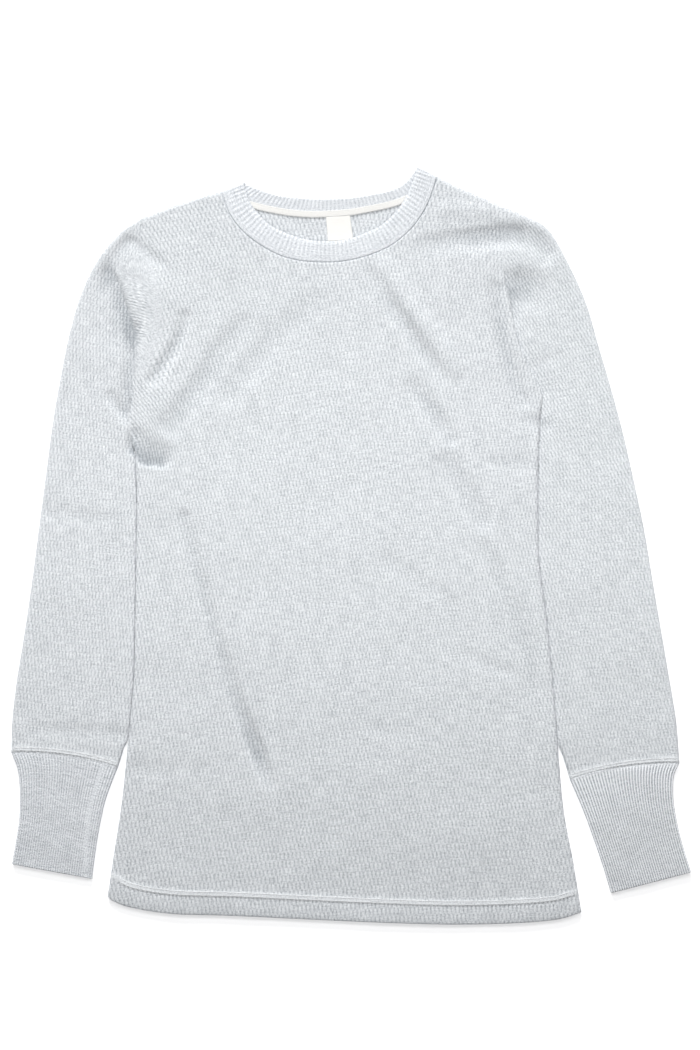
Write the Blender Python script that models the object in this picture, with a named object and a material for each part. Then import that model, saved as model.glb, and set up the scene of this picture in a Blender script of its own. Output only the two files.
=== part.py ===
"""A long-sleeved thermal knit top, laid flat with its front up.

Each piece that is cut and sewn is a cloth wall of its own: front, back, two
sleeves, two rib cuffs, rib collar, neck tape and label. The underside lies
flat at Z = 0 and the front lies over the back, with folds in its face.

Tables and sizes are in millimetres. A point of the plan is (x, up): x to the
right from the middle of the whole width, up from the lowest point of the hem
towards the neck. "left" is the side at -X. The model is in metres, with +Y
towards the neck, and its origin under the middle of the whole top.
"""
from collections import namedtuple
from math import sqrt

import bmesh
import bpy
from mathutils import Vector

MM = 0.001

# Cloth, and how it lies.
CLOTH = 2.0             # wall of the knit
SEAM_GAP = 0.3          # between two pieces at a seam
LIE = 6.2               # height of the upper face where the top lies plain
LOWEST = 4.3            # of that face, in the deepest trough
HIGHEST = 8.8           # of that face, on the highest ridge
FOLD_LEVEL = LIE / 2    # where cloth turns over at a side, from over to under
ROLL = 4.0              # from a side in to where that turn has ended
ROLL_STATION = 0.36     # share of ROLL at which the turn has a point of its own
LENGTH = 724.0          # from the hem's lowest point to the collar's highest

# Seams sunk between their two pieces: height of the face there, and reach to
# each side. A sleeve comes up out of its seam over twice that reach.
ARMHOLE_LEFT_LEVEL = 5.7
ARMHOLE_LEFT_REACH = 3.0
ARMHOLE_RIGHT_LEVEL = 4.4
ARMHOLE_RIGHT_REACH = 7.0
NECK_SEAM_LEVEL = 5.4
NECK_SEAM_REACH = 3.0

# Ribs, raised in the outer face only.
RIB_HEIGHT = 0.5
CUFF_RIBS = 35          # on the upper face of a cuff
COLLAR_RIBS = 70        # on the front half of the collar
COLLAR_RAISE = 0.4      # of the front collar over the front
COLLAR_EDGE_LEVEL = 5.8
COLLAR_EDGE_REACH = 2.0

TAPE_WIDTH = 4.8
TAPE_THICKNESS = 1.0
TAPE_ENDS = (22.0, 24.0)    # kept back from the neck points, along the seam
LABEL_THICKNESS = 0.8
REST_GAP = 0.3          # under what lies on another piece

# How finely each piece is divided.
SHOULDER_COLUMNS = 6
NECK_COLUMNS = 18
BODY_ROWS = 20
YOKE_ROWS = 9
BACK_SHOULDER_COLUMNS = 5
BACK_NECK_COLUMNS = 8
BACK_BODY_ROWS = 9
UNDER_ROWS = 4          # of the back's yoke, and across the underside of a tube
SLEEVE_STEPS = 2        # between two sections of a sleeve
COLLAR_UNDER_STEPS = 24
COLLAR_SHARES = (0.0, 0.11, 0.89, 1.0)      # from the neck seam to the opening
TAPE_STEPS = 12
LABEL_STEPS = 3
SIDE_STEPS = 40
CURVE_STEPS = 12        # between two points of a smooth curve

# The body's two sides, from the hem (share 0) to the armpits (share 1).
Side = namedtuple("Side", "share left right")
SIDES = [
    Side(0.0, -231.0, 219.5),
    Side(0.1, -224.7, 211.8),
    Side(0.2, -218.2, 202.9),
    Side(0.3, -213.5, 198.3),
    Side(0.4, -209.3, 194.8),
    Side(0.5, -205.8, 190.6),
    Side(0.6, -205.0, 185.6),
    Side(0.7, -204.2, 179.4),
    Side(0.8, -203.6, 178.4),
    Side(0.9, -203.2, 178.8),
    Side(1.0, -205.0, 181.0),
]
ARMPIT_LEFT = (-205.0, 452.0)
ARMPIT_RIGHT = (181.0, 490.0)
HEM = [(-231, 28), (-224, 23), (-206, 17), (-168, 11.5), (-106, 9.5), (0, 4.5),
       (90, 1.5), (150, 2.5), (195, 6), (219.5, 13)]
BACK_HEM_SHORTER = 1.0

ARMHOLE_LEFT = [ARMPIT_LEFT, (-210, 475), (-209, 501), (-204.5, 525), (-196.5, 541.5),
                (-190.5, 557), (-187.2, 579.5), (-187.7, 601), (-193, 622), (-198, 640),
                (-199.5, 656), (-197, 673.5)]
ARMHOLE_RIGHT = [ARMPIT_RIGHT, (182, 506), (170, 532), (160, 556), (154, 582), (148, 610),
                 (145, 625), (146, 640), (149, 654), (154, 669), (159.5, 678)]
SHOULDER_LEFT = [(-197, 673.5), (-179, 680.5), (-151.5, 690), (-123.5, 698.5)]
SHOULDER_RIGHT = [(82.5, 712), (108.8, 699.5), (134, 688.8), (159.5, 678)]

NECK_LEFT = (-123.5, 698.5)
NECK_RIGHT = (82.5, 712.0)
NECK_SEAM_FRONT = [NECK_LEFT, (-115, 677), (-104, 662), (-90, 650), (-70, 638.5), (-49, 632.5),
                   (-24, 630.8), (-3, 632.3), (18, 637.7), (38, 646.5), (56, 661), (67, 675),
                   (75, 690), NECK_RIGHT]
NECK_SEAM_BACK = [NECK_LEFT, (-112, 692), (-97, 686.5), (-80, 682), (-59, 678.2), (-38.5, 676.5),
                  (-19, 677), (0, 678.5), (14, 681), (34, 685), (50, 690), (66, 698.5), NECK_RIGHT]
OPENING_LEFT = (-102.0, 707.0)
OPENING_RIGHT = (64.5, 722.5)
OPENING_FRONT = [OPENING_LEFT, (-98.5, 695), (-94, 685.5), (-87, 676.5), (-76, 665.8), (-56, 656.5),
                 (-38.5, 652), (-19.5, 650.8), (-3, 652.8), (14, 658.6), (30.5, 667), (44.5, 680.7),
                 (52.7, 693), (59.5, 708), OPENING_RIGHT]
OPENING_BACK = [OPENING_LEFT, (-94, 703), (-83, 698.8), (-68.5, 694.8), (-49, 692.2), (-24, 691.4),
                (-1, 692.4), (14, 694.5), (34, 698.5), (44.5, 702), (51, 706), (57, 712),
                OPENING_RIGHT]

LABEL_CORNERS = ((-23.3, 674.0), (-0.5, 675.5), (2.8, 651.8), (-21.4, 650.8))

# Sections across a sleeve, from the armpit side to the outer side: the first on
# the armhole, which is not straight, and the last on the cuff seam.
Section = namedtuple("Section", "inner_x inner_up outer_x outer_up")
SLEEVE_LEFT = [
    Section(*ARMHOLE_LEFT[0], *ARMHOLE_LEFT[-1]),
    Section(-206.0, 449.5, -220.0, 658.0),
    Section(-206.3, 445.5, -240.5, 633.0),
    Section(-206.1, 438.5, -256.0, 601.0),
    Section(-205.6, 427.0, -267.5, 562.0),
    Section(-205.2, 408.0, -276.0, 520.0),
    Section(-205.0, 380.0, -283.5, 476.0),
    Section(-205.2, 345.0, -290.0, 426.0),
    Section(-206.0, 308.0, -296.5, 377.0),
    Section(-206.8, 268.0, -303.0, 327.0),
    Section(-208.5, 228.0, -309.5, 282.0),
    Section(-212.2, 188.0, -317.0, 236.0),
    Section(-216.0, 167.0, -321.5, 198.0),
    Section(-221.0, 150.5, -322.7, 165.0),
]
SLEEVE_RIGHT = [
    Section(*ARMHOLE_RIGHT[0], *ARMHOLE_RIGHT[-1]),
    Section(181.6, 487.0, 187.0, 663.0),
    Section(181.4, 482.0, 207.0, 630.0),
    Section(180.7, 474.0, 224.0, 592.0),
    Section(180.0, 462.0, 236.0, 551.0),
    Section(179.6, 443.0, 248.0, 510.0),
    Section(179.6, 415.0, 259.0, 469.0),
    Section(179.9, 380.0, 269.0, 425.0),
    Section(181.6, 340.0, 279.0, 378.0),
    Section(186.8, 300.0, 287.0, 330.0),
    Section(191.2, 258.0, 295.0, 283.0),
    Section(195.2, 214.0, 302.5, 239.0),
    Section(199.5, 172.0, 309.5, 196.0),
    Section(208.5, 139.0, 312.8, 155.0),
]
ARMHOLE_FADE = 6.5      # steps over which the sections lose the armhole's bend
CUFF_LEFT = [
    SLEEVE_LEFT[-1],
    Section(-227.3, 135.0, -316.8, 149.5),
    Section(-233.7, 116.0, -314.6, 129.2),
    Section(-239.0, 91.0, -315.0, 103.5),
    Section(-242.7, 67.5, -318.3, 79.8),
    Section(-245.6, 45.0, -322.0, 59.0),
]
CUFF_RIGHT = [
    SLEEVE_RIGHT[-1],
    Section(216.6, 120.7, 307.6, 141.6),
    Section(224.2, 101.7, 307.1, 121.6),
    Section(231.3, 81.7, 310.2, 100.7),
    Section(238.5, 60.8, 315.4, 78.9),
    Section(247.5, 31.4, 323.8, 51.3),
]
CUFF_SEAM_BOW = 4.5     # the cuff seam's middle, towards the shoulder

# Folds in the upper face: a trough where rise is below zero, else a ridge.
Fold = namedtuple("Fold", "x0 up0 x1 up1 bow half_width rise0 rise1")
FOLDS = [
    Fold(85, 652, 178, 650, 3, 16, -1, -2.1),         # under the right shoulder
    Fold(178, 650, 208, 606, 5, 14, -1.9, -0.8),        # on round the right sleeve head
    Fold(110, 632, 168, 638, 0, 15, 1, 1.6),
    Fold(153, 611, 172, 620, 0, 18, -2.1, -1),        # hollow of the right sleeve head
    Fold(124, 580, 150, 530, -5, 15, -1.1, -1.3),
    Fold(26, 614, 96, 523, 0, 22, -1.6, -1.3),          # right chest
    Fold(91, 446, 121, 391, 0, 17, -1, -1),
    Fold(131, 356, 151, 286, 0, 17, -1, -1),
    Fold(36, 352, 71, 326, 0, 16, -0.6, -0.5),
    Fold(-18, 525, -18, 521, 0, 16, -0.8, -0.8),
    Fold(-162, 568, -194, 514, 0, 12, -1.4, -1.4),
    Fold(-112, 576, -182, 480, -5, 17, -1.4, -2.1),     # left chest, to the armpit
    Fold(-196, 451, -180, 456, 0, 19, -2.2, -2.1),      # hollow of the left armpit
    Fold(-38, 596, -113, 511, 0, 20, -0.8, -1.3),
    Fold(-150, 391, -84, 157, -4, 18, -0.5, -1.9),      # long crease, left waist to hip
    Fold(-92, 235, -66, 160, 0, 18, 0.5, 1.3),
    Fold(-203, 654, -180, 638, 0, 10, -1.8, -1.3),
    Fold(-211, 652, -238, 608, 0, 11, -1.8, -1.3),      # over the left sleeve head
    Fold(-212, 622, -196, 628, 0, 18, 1.8, 1.9),
    Fold(-200, 602, -195, 566, 0, 13, 1.4, 0.8),        # sleeve cloth behind the crease
    Fold(-221, 618, -205, 560, 0, 10, -1.9, -2.2),      # crease of the left sleeve head
    Fold(-205, 560, -206, 528, 0, 10, -2.2, -1.8),
    Fold(-206, 528, -210, 480, 0, 10, -1.8, -1.3),
    Fold(-288, 401, -227, 393, 0, 10, -1, -1.1),
    Fold(-268, 197, -215, 194, 0, 10, -1, -1.3),
    Fold(-262, 180, -225, 178, 0, 10, 0.8, 0.8),
    Fold(-240, 540, -214, 486, 0, 12, -0.8, -0.6),
]

# The turned-up hem, raised in the face, with a groove where it is stitched.
HemLine = namedtuple("HemLine", "from_edge relief")
HEM_LINES = [
    HemLine(0.0, -0.6),
    HemLine(1.6, 0.2),
    HemLine(9.0, 0.5),
    HemLine(16.0, 0.3),
    HemLine(18.5, -0.6),
    HemLine(21.0, 0.2),
    HemLine(25.0, 0.0),
]
BODY_LENGTH = 450.0     # from the hem to the armpits, to share the hem's lines out

Crease = namedtuple("Crease", "line level reach")

KNIT_GREY = (0.72, 0.75, 0.77)
RIB_GREY = (0.67, 0.70, 0.72)
TAPE_CREAM = (0.84, 0.83, 0.79)
LABEL_CREAM = (0.90, 0.88, 0.84)


# ---- curves of the plan

def mix(first, second, share):
    """What lies at a share of the way from one tuple of numbers to another."""
    return tuple(a + (b - a) * share for a, b in zip(first, second))


def smooth(rows, steps=CURVE_STEPS):
    """Rows of numbers with more between them, on a smooth curve through all."""
    ends = [mix(rows[0], rows[1], -1.0)] + list(rows) + [mix(rows[-1], rows[-2], -1.0)]
    curve = []
    for before, start, end, after in zip(ends, ends[1:], ends[2:], ends[3:]):
        for step in range(steps):
            t = step / steps
            weights = (-t + 2 * t**2 - t**3, 2 - 5 * t**2 + 3 * t**3,
                       t + 4 * t**2 - 3 * t**3, t**3 - t**2)
            numbers = zip(before, start, end, after)
            curve.append(tuple(sum(w * n for w, n in zip(weights, four)) / 2 for four in numbers))
    curve.append(tuple(rows[-1]))
    return curve


def span(first, second):
    return sqrt((second[0] - first[0])**2 + (second[1] - first[1])**2)


def line_length(line):
    return sum(span(a, b) for a, b in zip(line, line[1:]))


def along(line, distance):
    """The point at a distance along a line of points."""
    for start, end in zip(line, line[1:]):
        step = span(start, end)
        if distance <= step:
            return mix(start, end, distance / step)
        distance -= step
    return line[-1]


def stations(length, middle, roll_start=True, roll_end=True):
    """Distances along a length: two close ones at an end that rolls, the rest even."""
    start = [0.0, ROLL * ROLL_STATION] if roll_start else []
    end = [length - ROLL * ROLL_STATION, length] if roll_end else []
    low = ROLL if roll_start else 0.0
    high = length - ROLL if roll_end else length
    return start + [low + (high - low) * i / middle for i in range(middle + 1)] + end


def shifted(line, distance):
    """A line moved sideways, to its left-hand side."""
    moved = []
    for i, (x, up) in enumerate(line):
        before, after = line[max(i - 1, 0)], line[min(i + 1, len(line) - 1)]
        reach = span(before, after)
        moved.append((x - (after[1] - before[1]) / reach * distance,
                      up + (after[0] - before[0]) / reach * distance))
    return moved


def nearest(line, point):
    """Distance from a point to a line, and the line's point that is nearest."""
    best = None
    for start, end in zip(line, line[1:]):
        dx, dy = end[0] - start[0], end[1] - start[1]
        square = dx * dx + dy * dy
        share = ((point[0] - start[0]) * dx + (point[1] - start[1]) * dy) / square if square else 0
        foot = mix(start, end, min(max(share, 0.0), 1.0))
        distance = span(point, foot)
        if best is None or distance < best[0]:
            best = (distance, foot)
    return best


def patch(bottom, top, left, right):
    """A net of points between four border lines that meet at their corners.

    What the sides bend is felt only near them, so that the net keeps to the
    seams in its top line.
    """
    bottom_run, left_run, right_run = line_length(bottom), line_length(left), line_length(right)
    rows = []
    for i in range(len(left)):
        left_share = line_length(left[:i + 1]) / left_run
        right_share = line_length(right[:i + 1]) / right_run
        row = []
        for j in range(len(bottom)):
            across = line_length(bottom[:j + 1]) / bottom_run
            share = left_share + (right_share - left_share) * across
            x, up = mix(bottom[j], top[j], share)
            from_left = mix(bottom[0], top[0], share)
            from_right = mix(bottom[-1], top[-1], share)
            for corner, border, weight in ((from_left, left[i], (1 - across)**3),
                                           (from_right, right[i], across**3)):
                x += (border[0] - corner[0]) * weight
                up += (border[1] - corner[1]) * weight
            row.append((x, up))
        rows.append(row)
    return rows


# ---- how the cloth lies

def rolled(share):
    """Height of a quarter round: 0 at its edge, 1 from its reach on."""
    return sqrt(1 - (1 - min(max(share, 0.0), 1.0))**2)


def fold_rise(fold, point):
    """How far one fold lifts the face at a point of the plan."""
    dx, dy = fold.x1 - fold.x0, fold.up1 - fold.up0
    run = sqrt(dx * dx + dy * dy)
    x, up = point[0] - fold.x0, point[1] - fold.up0
    lengthways = (x * dx + up * dy) / run
    share = min(max(lengthways / run, 0.0), 1.0)
    sideways = (up * dx - x * dy) / run - fold.bow * 4 * share * (1 - share)
    beyond = lengthways - share * run
    distance = sqrt(sideways**2 + beyond**2) / fold.half_width
    if distance >= 1:
        return 0.0
    return (fold.rise0 + (fold.rise1 - fold.rise0) * share) * (1 - distance**2)**2


def face_height(point, creases=()):
    """Height of the upper face: plain, with its folds, sunk at its seams."""
    rise = sum(fold_rise(fold, point) for fold in FOLDS)
    room = HIGHEST - LIE if rise > 0 else LIE - LOWEST
    height = LIE + rise / sqrt(1 + (rise / room)**2)
    for crease in creases:
        distance, _ = nearest(crease.line, point)
        height = crease.level + (height - crease.level) * rolled(distance / crease.reach)
    return height


def wall_pair(point, inner_side, fold_lines, height=None, level=FOLD_LEVEL, relief=0.0):
    """Outer and inner point of the cloth at one point of the plan.

    Cloth of the upper layer has the given height and the lower layer none.
    Towards a fold line it turns down, or up, to the level where both meet,
    and its inner point moves towards inner_side, a point further from the fold.
    """
    distance, _ = min(nearest(line, point) for line in fold_lines)
    turn = rolled(distance / ROLL)
    lean = 1 - min(distance / ROLL, 1.0)
    inward = Vector(inner_side) - Vector(point)
    inner_plan = Vector(point) + inward.normalized() * CLOTH * lean
    if height is None:
        outer_height = level * (1 - turn)
        inner_height = outer_height + CLOTH * turn
    else:
        outer_height = level + (height - level) * turn
        inner_height = outer_height - CLOTH * turn
        outer_height += relief * turn
    return (*point, outer_height), (*inner_plan, inner_height)


# ---- solids

def in_place(point):
    """A point of the plan, with its height, in the model's metres."""
    x, up, height = point
    return Vector((x, up - LENGTH / 2, height)) * MM


def cloth_wall(name, pairs, finish, ring=False):
    """A closed solid between the outer and inner points of a net of pairs."""
    mesh = bpy.data.meshes.new(name)
    net = bmesh.new()
    faces_out, faces_in = [
        [[net.verts.new(in_place(pair[side])) for pair in row] for row in pairs] for side in (0, 1)
    ]
    columns = len(pairs[0])
    steps = columns if ring else columns - 1
    for i in range(len(pairs) - 1):
        for j in range(steps):
            k = (j + 1) % columns
            for layer in (faces_out, faces_in):
                net.faces.new((layer[i][j], layer[i][k], layer[i + 1][k], layer[i + 1][j]))
        if not ring:
            for j in (0, -1):
                net.faces.new((faces_out[i][j], faces_out[i + 1][j],
                               faces_in[i + 1][j], faces_in[i][j]))
    for i in (0, -1):
        for j in range(steps):
            k = (j + 1) % columns
            net.faces.new((faces_out[i][j], faces_out[i][k], faces_in[i][k], faces_in[i][j]))
    bmesh.ops.recalc_face_normals(net, faces=net.faces)
    net.to_mesh(mesh)
    net.free()
    mesh.shade_smooth()
    mesh.materials.append(finish)
    garment = bpy.data.collections["thermal_top"]
    garment.objects.link(bpy.data.objects.new(name, mesh))


def fabric(name, colour, roughness=0.9):
    finish = bpy.data.materials.new(name)
    finish.use_nodes = True
    shader = finish.node_tree.nodes["Principled BSDF"]
    shader.inputs["Base Color"].default_value = (*colour, 1.0)
    shader.inputs["Roughness"].default_value = roughness
    shader.inputs["Metallic"].default_value = 0.0
    return finish


# ---- the body

def side_points(side, shares):
    """Points up one side of the body, at shares of the way from hem to armpit."""
    hem_up = HEM[0][1] if side == "left" else HEM[-1][1]
    armpit_up = (ARMPIT_LEFT if side == "left" else ARMPIT_RIGHT)[1]
    curve = smooth([(row.share, getattr(row, side)) for row in SIDES])
    points = []
    for share in shares:
        share = min(share, 1.0)
        start, end = next((a, b) for a, b in zip(curve, curve[1:]) if share <= b[0])
        _, x = mix(start, end, (share - start[0]) / (end[0] - start[0]))
        points.append((x, hem_up + (armpit_up - hem_up) * share))
    return points


def even(steps):
    return [i / steps for i in range(steps + 1)]


SIDE_LINES = [side_points("left", even(SIDE_STEPS)), side_points("right", even(SIDE_STEPS))]
SHOULDER_LINES = [smooth(SHOULDER_LEFT), smooth(SHOULDER_RIGHT)]
BODY_FOLDS = SIDE_LINES + SHOULDER_LINES


def armhole(side, middle):
    """The armhole seam from armpit to shoulder, in a set number of steps."""
    curve = smooth(ARMHOLE_LEFT if side == "left" else ARMHOLE_RIGHT)
    return [along(curve, distance) for distance in stations(line_length(curve), middle)]


def armhole_crease(side, wider=1):
    if side == "left":
        return Crease(smooth(ARMHOLE_LEFT), ARMHOLE_LEFT_LEVEL, ARMHOLE_LEFT_REACH * wider)
    return Crease(smooth(ARMHOLE_RIGHT), ARMHOLE_RIGHT_LEVEL, ARMHOLE_RIGHT_REACH * wider)


def neck_seam(points, middle):
    curve = smooth(points)
    return [along(curve, distance) for distance in stations(line_length(curve), middle)]


Panel = namedtuple("Panel", "net armpit_row neck_start neck_end")


def body_net(neck_points, shoulder_steps, neck_steps, shares, yoke_steps):
    """Plan points of a body panel in rows, from the hem to shoulders and neck."""
    shoulder_left = smooth(SHOULDER_LEFT)
    shoulder_right = smooth(SHOULDER_RIGHT)
    neck = shifted(neck_seam(neck_points, neck_steps), -SEAM_GAP / 2)
    start = stations(line_length(shoulder_left), shoulder_steps, roll_end=False)
    end = stations(line_length(shoulder_right), shoulder_steps, roll_start=False)
    top = [along(shoulder_left, d) for d in start[:-1]] + neck
    top += [along(shoulder_right, d) for d in end[1:]]
    middle = len(top) - 5
    hem_curve = smooth(HEM)
    hem = [along(hem_curve, d) for d in stations(line_length(hem_curve), middle)]
    chest_line = [ARMPIT_LEFT, ARMPIT_RIGHT]
    chest = [along(chest_line, d) for d in stations(line_length(chest_line), middle)]
    left = shifted(armhole("left", yoke_steps), -SEAM_GAP / 2)
    right = shifted(armhole("right", yoke_steps), SEAM_GAP / 2)
    chest[0], chest[-1] = left[0], right[0]
    top[0], top[-1] = left[-1], right[-1]
    body = patch(hem, chest, side_points("left", shares)[:-1] + [left[0]],
                 side_points("right", shares)[:-1] + [right[0]])
    neck_start = len(start) - 1
    return Panel(body[:-1] + patch(chest, top, left, right), len(body) - 1,
                 neck_start, neck_start + len(neck) - 1)


def inner_side_of(panel, i, j):
    """A neighbour in a body panel's net, further from the fold that is nearest.

    Along an armhole or the neck seam the neighbour is on that seam.
    """
    net, middle_row = panel.net, (panel.armpit_row + len(panel.net) - 1) / 2
    last_row, last_column = len(net) - 1, len(net[0]) - 1
    if i == last_row and panel.neck_start <= j <= panel.neck_end:
        return net[i][j + 1] if 2 * j < panel.neck_start + panel.neck_end else net[i][j - 1]
    if i > panel.armpit_row and j in (0, last_column):
        return net[i + 1][j] if i < middle_row else net[i - 1][j]
    if i > middle_row:
        return net[i - 1][j]
    return net[i][j + 1] if 2 * j < last_column else net[i][j - 1]


def make_front(finish):
    shares = [line.from_edge / BODY_LENGTH for line in HEM_LINES]
    rest = 1 - shares[-1]
    shares += [shares[-1] + rest * (i + 1) / BODY_ROWS for i in range(BODY_ROWS)]
    panel = body_net(NECK_SEAM_FRONT, SHOULDER_COLUMNS, NECK_COLUMNS, shares, YOKE_ROWS)
    creases = [armhole_crease("left"), armhole_crease("right"),
               Crease(smooth(NECK_SEAM_FRONT), NECK_SEAM_LEVEL, NECK_SEAM_REACH)]
    pairs = []
    for i, row in enumerate(panel.net):
        relief = HEM_LINES[i].relief if i < len(HEM_LINES) else 0.0
        pairs.append([
            wall_pair(point, inner_side_of(panel, i, j), BODY_FOLDS, face_height(point, creases),
                      FOLD_LEVEL + SEAM_GAP / 2, relief)
            for j, point in enumerate(row)
        ])
    cloth_wall("front", pairs, finish)


def make_back(finish):
    panel = body_net(NECK_SEAM_BACK, BACK_SHOULDER_COLUMNS, BACK_NECK_COLUMNS,
                     even(BACK_BODY_ROWS), UNDER_ROWS)
    panel.net[0] = [(x, up + BACK_HEM_SHORTER) for x, up in panel.net[0]]
    level = FOLD_LEVEL - SEAM_GAP / 2
    cloth_wall("back", [
        [wall_pair(point, inner_side_of(panel, i, j), BODY_FOLDS, level=level)
         for j, point in enumerate(row)]
        for i, row in enumerate(panel.net)
    ], finish)


# ---- tubes: sleeves and cuffs

def tube_ring(over, under, fold_lines, creases=(), reliefs=None, raised=0.0):
    """Wall points once round a flat tube, over it and back under it."""
    reliefs = reliefs or [0.0] * len(over)
    ring = []
    last = len(over) - 1
    for i, point in enumerate(over):
        inner_side = over[i + 1] if 2 * i < last else over[i - 1]
        if i in (0, last):
            inner_side = under[1] if i == 0 else under[-2]
        height = face_height(point, creases) + raised
        ring.append(wall_pair(point, inner_side, fold_lines, height, relief=reliefs[i]))
    for i in range(len(under) - 2, 0, -1):
        inner_side = under[i + 1] if 2 * i < len(under) - 1 else under[i - 1]
        ring.append(wall_pair(under[i], inner_side, fold_lines))
    return ring


def section_points(section, distances, bow=0.0, bends=None):
    """Points across a tube at one section, its middle bowed towards the shoulder."""
    inner, outer = section[:2], section[2:]
    width = span(inner, outer)
    side = 1 if outer[0] > inner[0] else -1
    across = ((outer[0] - inner[0]) / width, (outer[1] - inner[1]) / width)
    points = []
    for i, distance in enumerate(distances):
        share = distance / width
        rise = bow * 4 * share * (1 - share)
        x, up = mix(inner, outer, share)
        bend_x, bend_up = bends[i] if bends else (0.0, 0.0)
        points.append((x - side * across[1] * rise + bend_x, up + side * across[0] * rise + bend_up))
    return points


def bends_of(seam, fade):
    """How far each point of a seam lies off the straight line between its ends."""
    length = line_length(seam)
    bends = []
    for i, point in enumerate(seam):
        straight = mix(seam[0], seam[-1], line_length(seam[:i + 1]) / length)
        bends.append(((point[0] - straight[0]) * fade, (point[1] - straight[1]) * fade))
    return bends


def section_width(section):
    return span((section[0], section[1]), (section[2], section[3]))


def moved_along(section, towards, distance):
    """A section shifted by a distance towards another one."""
    middle = ((section[0] + section[2]) / 2, (section[1] + section[3]) / 2)
    goal = ((towards[0] + towards[2]) / 2, (towards[1] + towards[3]) / 2)
    return mix(section, towards, distance / span(middle, goal))


def make_sleeve(side, table, finish):
    outward = SEAM_GAP / 2 if side == "left" else -SEAM_GAP / 2
    seam = shifted(armhole(side, YOKE_ROWS), outward)
    under_seam = shifted(armhole(side, UNDER_ROWS), outward)
    sections = smooth([tuple(row) for row in table], SLEEVE_STEPS)
    last = len(sections) - 1
    sections[last] = moved_along(sections[last], sections[last - 1], SEAM_GAP / 2)
    sections[0] = (*seam[0], *seam[-1])
    fold_lines = [[row[:2] for row in sections], [row[2:] for row in sections]]
    crease = armhole_crease(side, wider=2)
    pairs = [tube_ring(seam, under_seam, fold_lines, [crease])]
    for i, section in enumerate(sections[1:], 1):
        width = section_width(section)
        bow = CUFF_SEAM_BOW * max(0.0, 1 - (last - i) / SLEEVE_STEPS)
        fade = max(0.0, 1 - i / ARMHOLE_FADE)
        over = section_points(section, stations(width, YOKE_ROWS), bow, bends_of(seam, fade))
        under = section_points(section, stations(width, UNDER_ROWS), bow, bends_of(under_seam, fade))
        pairs.append(tube_ring(over, under, fold_lines, [crease]))
    cloth_wall("sleeve_" + side, pairs, finish, ring=True)


def make_cuff(side, table, finish):
    sections = [tuple(row) for row in table]
    sections[0] = moved_along(sections[0], sections[1], SEAM_GAP / 2)
    fold_lines = [[row[:2] for row in sections], [row[2:] for row in sections]]
    steps = 2 * CUFF_RIBS
    reliefs = [RIB_HEIGHT * (i % 2) for i in range(steps + 1)]
    pairs = []
    for i, section in enumerate(sections):
        width = section_width(section)
        bow = CUFF_SEAM_BOW * (1 - i / (len(sections) - 1))
        over = section_points(section, [width * share for share in even(steps)], bow)
        under = section_points(section, stations(width, UNDER_ROWS), bow)
        pairs.append(tube_ring(over, under, fold_lines, reliefs=reliefs))
    cloth_wall("cuff_" + side, pairs, finish, ring=True)


# ---- the neck

def spread(line, steps):
    length = line_length(line)
    return [along(line, length * share) for share in even(steps)]


def make_collar(finish):
    seam_front = shifted(neck_seam(NECK_SEAM_FRONT, NECK_COLUMNS), SEAM_GAP / 2)
    seam_back = shifted(neck_seam(NECK_SEAM_BACK, BACK_NECK_COLUMNS), SEAM_GAP / 2)
    opening_front, opening_back = smooth(OPENING_FRONT), smooth(OPENING_BACK)
    fold_lines = [[seam_front[0], OPENING_LEFT], [seam_front[-1], OPENING_RIGHT]]
    creases = [Crease(seam_front, NECK_SEAM_LEVEL, NECK_SEAM_REACH),
               Crease(opening_front, COLLAR_EDGE_LEVEL, COLLAR_EDGE_REACH)]
    steps = 2 * COLLAR_RIBS
    reliefs = [RIB_HEIGHT * (i % 2) for i in range(steps + 1)]
    over_ends = spread(seam_front, steps), spread(opening_front, steps)
    under_ends = spread(seam_back, COLLAR_UNDER_STEPS), spread(opening_back, COLLAR_UNDER_STEPS)
    pairs = []
    for share in COLLAR_SHARES:
        over = [mix(a, b, share) for a, b in zip(*over_ends)]
        under = [mix(a, b, share) for a, b in zip(*under_ends)]
        pairs.append(tube_ring(over, under, fold_lines, creases, reliefs, COLLAR_RAISE))
    cloth_wall("collar", pairs, finish, ring=True)


def flat_strip(name, rows, thickness, finish):
    """A thin piece that lies on the inside of the back."""
    low = CLOTH + REST_GAP
    cloth_wall(name, [[((*point, low + thickness), (*point, low)) for point in row] for row in rows],
               finish)


def make_neck_tape(finish):
    seam = smooth(NECK_SEAM_BACK)
    length = line_length(seam) - sum(TAPE_ENDS)
    middle = [along(seam, TAPE_ENDS[0] + length * share) for share in even(TAPE_STEPS)]
    flat_strip("neck_tape", [shifted(middle, offset * TAPE_WIDTH) for offset in (-0.5, 0.0, 0.5)],
               TAPE_THICKNESS, finish)


def make_label(finish):
    top_left, top_right, low_right, low_left = LABEL_CORNERS
    rows = [
        [mix(mix(low_left, low_right, across), mix(top_left, top_right, across), share)
         for across in even(LABEL_STEPS)]
        for share in even(LABEL_STEPS)
    ]
    flat_strip("label", rows, LABEL_THICKNESS, finish)


def main():
    for old in list(bpy.data.objects):
        bpy.data.objects.remove(old, do_unlink=True)
    garment = bpy.data.collections.new("thermal_top")
    bpy.context.scene.collection.children.link(garment)
    make_front(fabric("front_knit", KNIT_GREY))
    make_back(fabric("back_knit", KNIT_GREY))
    for side, sleeve, cuff in (("left", SLEEVE_LEFT, CUFF_LEFT), ("right", SLEEVE_RIGHT, CUFF_RIGHT)):
        make_sleeve(side, sleeve, fabric("sleeve_" + side + "_knit", KNIT_GREY))
        make_cuff(side, cuff, fabric("cuff_" + side + "_rib", RIB_GREY))
    make_collar(fabric("collar_rib", RIB_GREY))
    make_neck_tape(fabric("neck_tape_weave", TAPE_CREAM))
    make_label(fabric("label_weave", LABEL_CREAM, 0.7))


main()
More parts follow.
